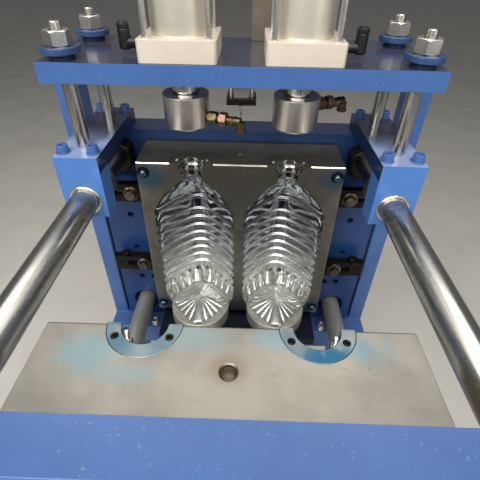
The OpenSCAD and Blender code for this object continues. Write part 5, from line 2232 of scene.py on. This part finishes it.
@dataclass(frozen=True)
class CentreCylinder:
    """The small guided cylinder under the middle of the bridge.

    Attributes:
        body: Width and depth of its grey body.
        guide_x: Distance of the two chromed guide rods from the middle.
        guide_radius: Radius of those rods.
        plate: Width, depth and height of the dark plate that they carry.
        pin_radius: Radius of the thin rod below.
    """

    body: tuple[float, float] = (23.0, 28.0)
    guide_x: float = 15.6
    guide_radius: float = 3.4
    plate: tuple[float, float, float] = (44.0, 34.0, 10.0)
    pin_radius: float = 2.2

    def build(self) -> None:
        """Models the cylinder inside its node's box and dresses it."""
        low, high = span("centre_cylinder")
        y, top = (low.y + high.y) / 2, high.z
        w, d = self.body
        pw, pd, tall = self.plate
        foot = low.z + 22
        ledge = foot + tall
        body = soften(slab("body", (-w / 2, y - d / 2, ledge), (w / 2, y + d / 2, top)), 0.8)
        corners = (-pw / 2, y - pd / 2, foot), (pw / 2, y + pd / 2, ledge)
        plate = soften(slab("plate", *corners), 0.8)
        rods = []
        for side in Side:
            start = (side.value * self.guide_x, y - d / 2 + 6, ledge)
            rods.append(rod("guide", self.guide_radius, start, top - foot - tall))
        r = self.pin_radius
        stem = [(r - 0.5, 0), (r, 0.5), (r, 14), (r + 2, 15), (r + 2, 17), (7.5, 22)]
        pin = turned("pin", stem, (0, y, low.z), sides=40)
        finishes = [BARREL_ALUMINIUM, HARD_CHROME, BROWN_STEEL]
        for index, pieces in enumerate(([body], [*rods, pin], [plate])):
            for piece in pieces:
                face_finish(fit_finishes(piece, *finishes), index)
        smooth(pin)
        whole = joined("centre_cylinder_body", [body, *rods, pin, plate])
        dress(whole, finishes, FRAME_BODY, "cast_aluminium", "centre_cylinder")


@dataclass(frozen=True)
class Carried:
    """A CAD node whose shape is right and only needs broken edges and a finish.

    Attributes:
        node: Name of the node.
        name: Name of the dressed piece.
        edge: Width of its broken edges.
        finish: Its finish.
        body: The body that carries it.
        slot: The record's material slot.
    """

    node: str
    name: str
    edge: float
    finish: Finish
    body: str
    slot: str

    def build(self) -> None:
        """Copies the node, breaks its edges and dresses it."""
        piece = softened_copy(self.name, self.node, self.edge)
        dress(piece, [self.finish], self.body, self.slot, self.node)


CARRIED = (
    Carried("rear_platen", "rear_clamp_plate", 1.2, DEEP_ENAMEL, FRAME_BODY, "deep_blue_paint"),
    Carried("moving_platen", "moving_clamp_plate", 1.2, BLUE_ENAMEL, CARRIAGE_BODY, "blue_paint"),
    Carried("front_end_plate", "end_clamp_plate", 1.2, BLUE_ENAMEL, FRAME_BODY, "blue_paint"),
    Carried("platen_bushes", "plate_bush_set", 0.6, YELLOW_ZINC, CARRIAGE_BODY, "yellow_zinc"),
    Carried("clamp_cylinder", "clamp_cylinder_body", 1.5, WHITE_ENAMEL, FRAME_BODY, "white_enamel"),
    Carried("clamp_tie_rods", "clamp_rod_set", 0.5, BRIGHT_ZINC, FRAME_BODY, "chrome_bar"),
    Carried("clamp_rod", "clamp_piston_rod", 0.6, HARD_CHROME, CARRIAGE_BODY, "chrome_bar"),
    Carried("base_frame", "welded_base_frame", 2.5, BLUE_ENAMEL, FRAME_BODY, "blue_paint"),
    Carried("levelling_feet", "levelling_foot_set", 0.8, BLACK_OXIDE, FRAME_BODY, "black_oxide"),
    Carried("frame_bolts", "frame_bolt_set", 0.4, BRIGHT_ZINC, FRAME_BODY, "chrome_bar"),
    Carried(
        "base_lift_cylinder", "base_lift_body", 0.8, DEEP_ENAMEL, FRAME_BODY, "deep_blue_paint"
    ),
    Carried("base_guide_rods", "base_guide_rod_set", 0.4, HARD_CHROME, BASE_BODY, "chrome_bar"),
    Carried("valve_block", "valve_block_body", 0.7, GREY_ANODISED, FRAME_BODY, "cast_aluminium"),
    *(
        Carried(node, f"{node}_bar", 0.3, HARD_CHROME, node.removesuffix("_rod"), "chrome_bar")
        for node in ("left_stretch_rod", "right_stretch_rod")
    ),
)


# ---- studio


@dataclass(frozen=True)
class Studio:
    """Floor, soft lamps and the camera at the photograph's viewing angle.

    Attributes:
        camera_at: Camera place.
        pitch: Degrees that it looks down.
        yaw: Degrees that it is turned from straight ahead, to the right.
        roll: Degrees that it leans.
        focal_px: Focal length in pixels of the 480-pixel image.
        centre_px: Row of the image where the optical axis falls.
        image_px: Size of the square image.
        sensor: Sensor width in millimetres.
    """

    camera_at: tuple[float, float, float] = (9.7, -528.5, 287.3)
    pitch: float = 36.09
    yaw: float = -0.894
    roll: float = 1.112
    focal_px: float = 368.4
    centre_px: float = 214.05
    image_px: float = 480.0
    sensor: float = 36.0

    def camera(self) -> None:
        """Places the camera from the angles measured in the photograph."""
        down, side, lean = (math.radians(a) for a in (self.pitch, self.yaw, self.roll))
        level = math.cos(down)
        ahead = Vector((math.sin(side) * level, math.cos(side) * level, -math.sin(down)))
        right = Vector((math.cos(side), -math.sin(side), 0))
        up = right.cross(ahead)
        leaned_right = right * math.cos(lean) + up * math.sin(lean)
        leaned_up = up * math.cos(lean) - right * math.sin(lean)
        data = bpy.data.cameras.new("viewer")
        data.sensor_width = self.sensor
        data.lens = self.focal_px / self.image_px * self.sensor
        data.shift_y = (self.centre_px - self.image_px / 2) / self.image_px
        data.clip_start, data.clip_end = 0.02, 60
        camera = added("viewer", data)
        turn = Matrix((leaned_right, leaned_up, -ahead)).transposed().to_4x4()
        camera.matrix_world = Matrix.Translation(at(*self.camera_at)) @ turn
        bpy.context.scene.camera = camera

    def lamp(self, name: str, place: Point, aim: Point, size: Point, watts: float) -> None:
        """Hangs one soft lamp.

        Args:
            name: Name of the lamp.
            place: Where it hangs, in metres.
            aim: Where it points, in metres.
            size: Width and height in metres.
            watts: Its power.
        """
        data = bpy.data.lights.new(name, "AREA")
        data.shape = "RECTANGLE"
        data.size, data.size_y = size
        data.energy = watts
        lamp = added(name, data)
        turn = (Vector(aim) - Vector(place)).to_track_quat("-Z", "Y").to_matrix().to_4x4()
        lamp.matrix_world = Matrix.Translation(place) @ turn

    def build(self) -> None:
        """Sets up floor, world, lamps and camera."""
        clear_bench()
        bpy.ops.mesh.primitive_plane_add(size=60, location=(0, 12, 0))
        floor = fit_finishes(settle(bpy.context.object, "floor"), PALE_FLOOR)
        world = bpy.data.worlds.new("room")
        bpy.context.scene.world = world
        world.use_nodes = True
        back = world.node_tree.nodes["Background"]
        back.inputs["Color"].default_value = linear("#eef0f4")
        back.inputs["Strength"].default_value = 0.14
        self.lamp("window", (-1.9, -1.9, 2.9), (0, 0.45, 1.1), (1.6, 1.2), 46)
        self.lamp("front", (0.0, -1.7, 2.55), (0, 0.3, 1.0), (2.6, 0.9), 34)
        self.lamp("ceiling", (0.0, -0.7, 3.4), (0, 0.5, 1.1), (2.6, 0.6), 54)
        self.lamp("rear", (0.0, 1.35, 3.1), (0, 0.0, 1.05), (3.0, 0.8), 23)
        self.lamp("fill", (2.3, -1.7, 1.9), (0, 0.4, 1.0), (1.2, 1.4), 12)
        self.camera()
        bpy.context.scene.view_settings.view_transform = "Standard"


def main() -> None:
    """Builds every sub-assembly in order."""
    logging.basicConfig(level=logging.INFO, format="%(message)s")
    Studio().build()
    mould = Mould()
    mould.build()
    MouldClamps().build(mould)
    BottleBases().build()
    BlowingHead(Side.LEFT).build()
    BlowingHead(Side.RIGHT, fitting_z=29.0, fitting_turn=25.0).build()
    for side in Side:
        AirCylinder(side).build()
    PushInElbows().build()
    CylinderRods().build()
    Bridge().build()
    Shoulders().build()
    TieBars().build()
    CentreCylinder().build()
    for node in CARRIED:
        node.build()


if __name__ == "__main__":
    main()
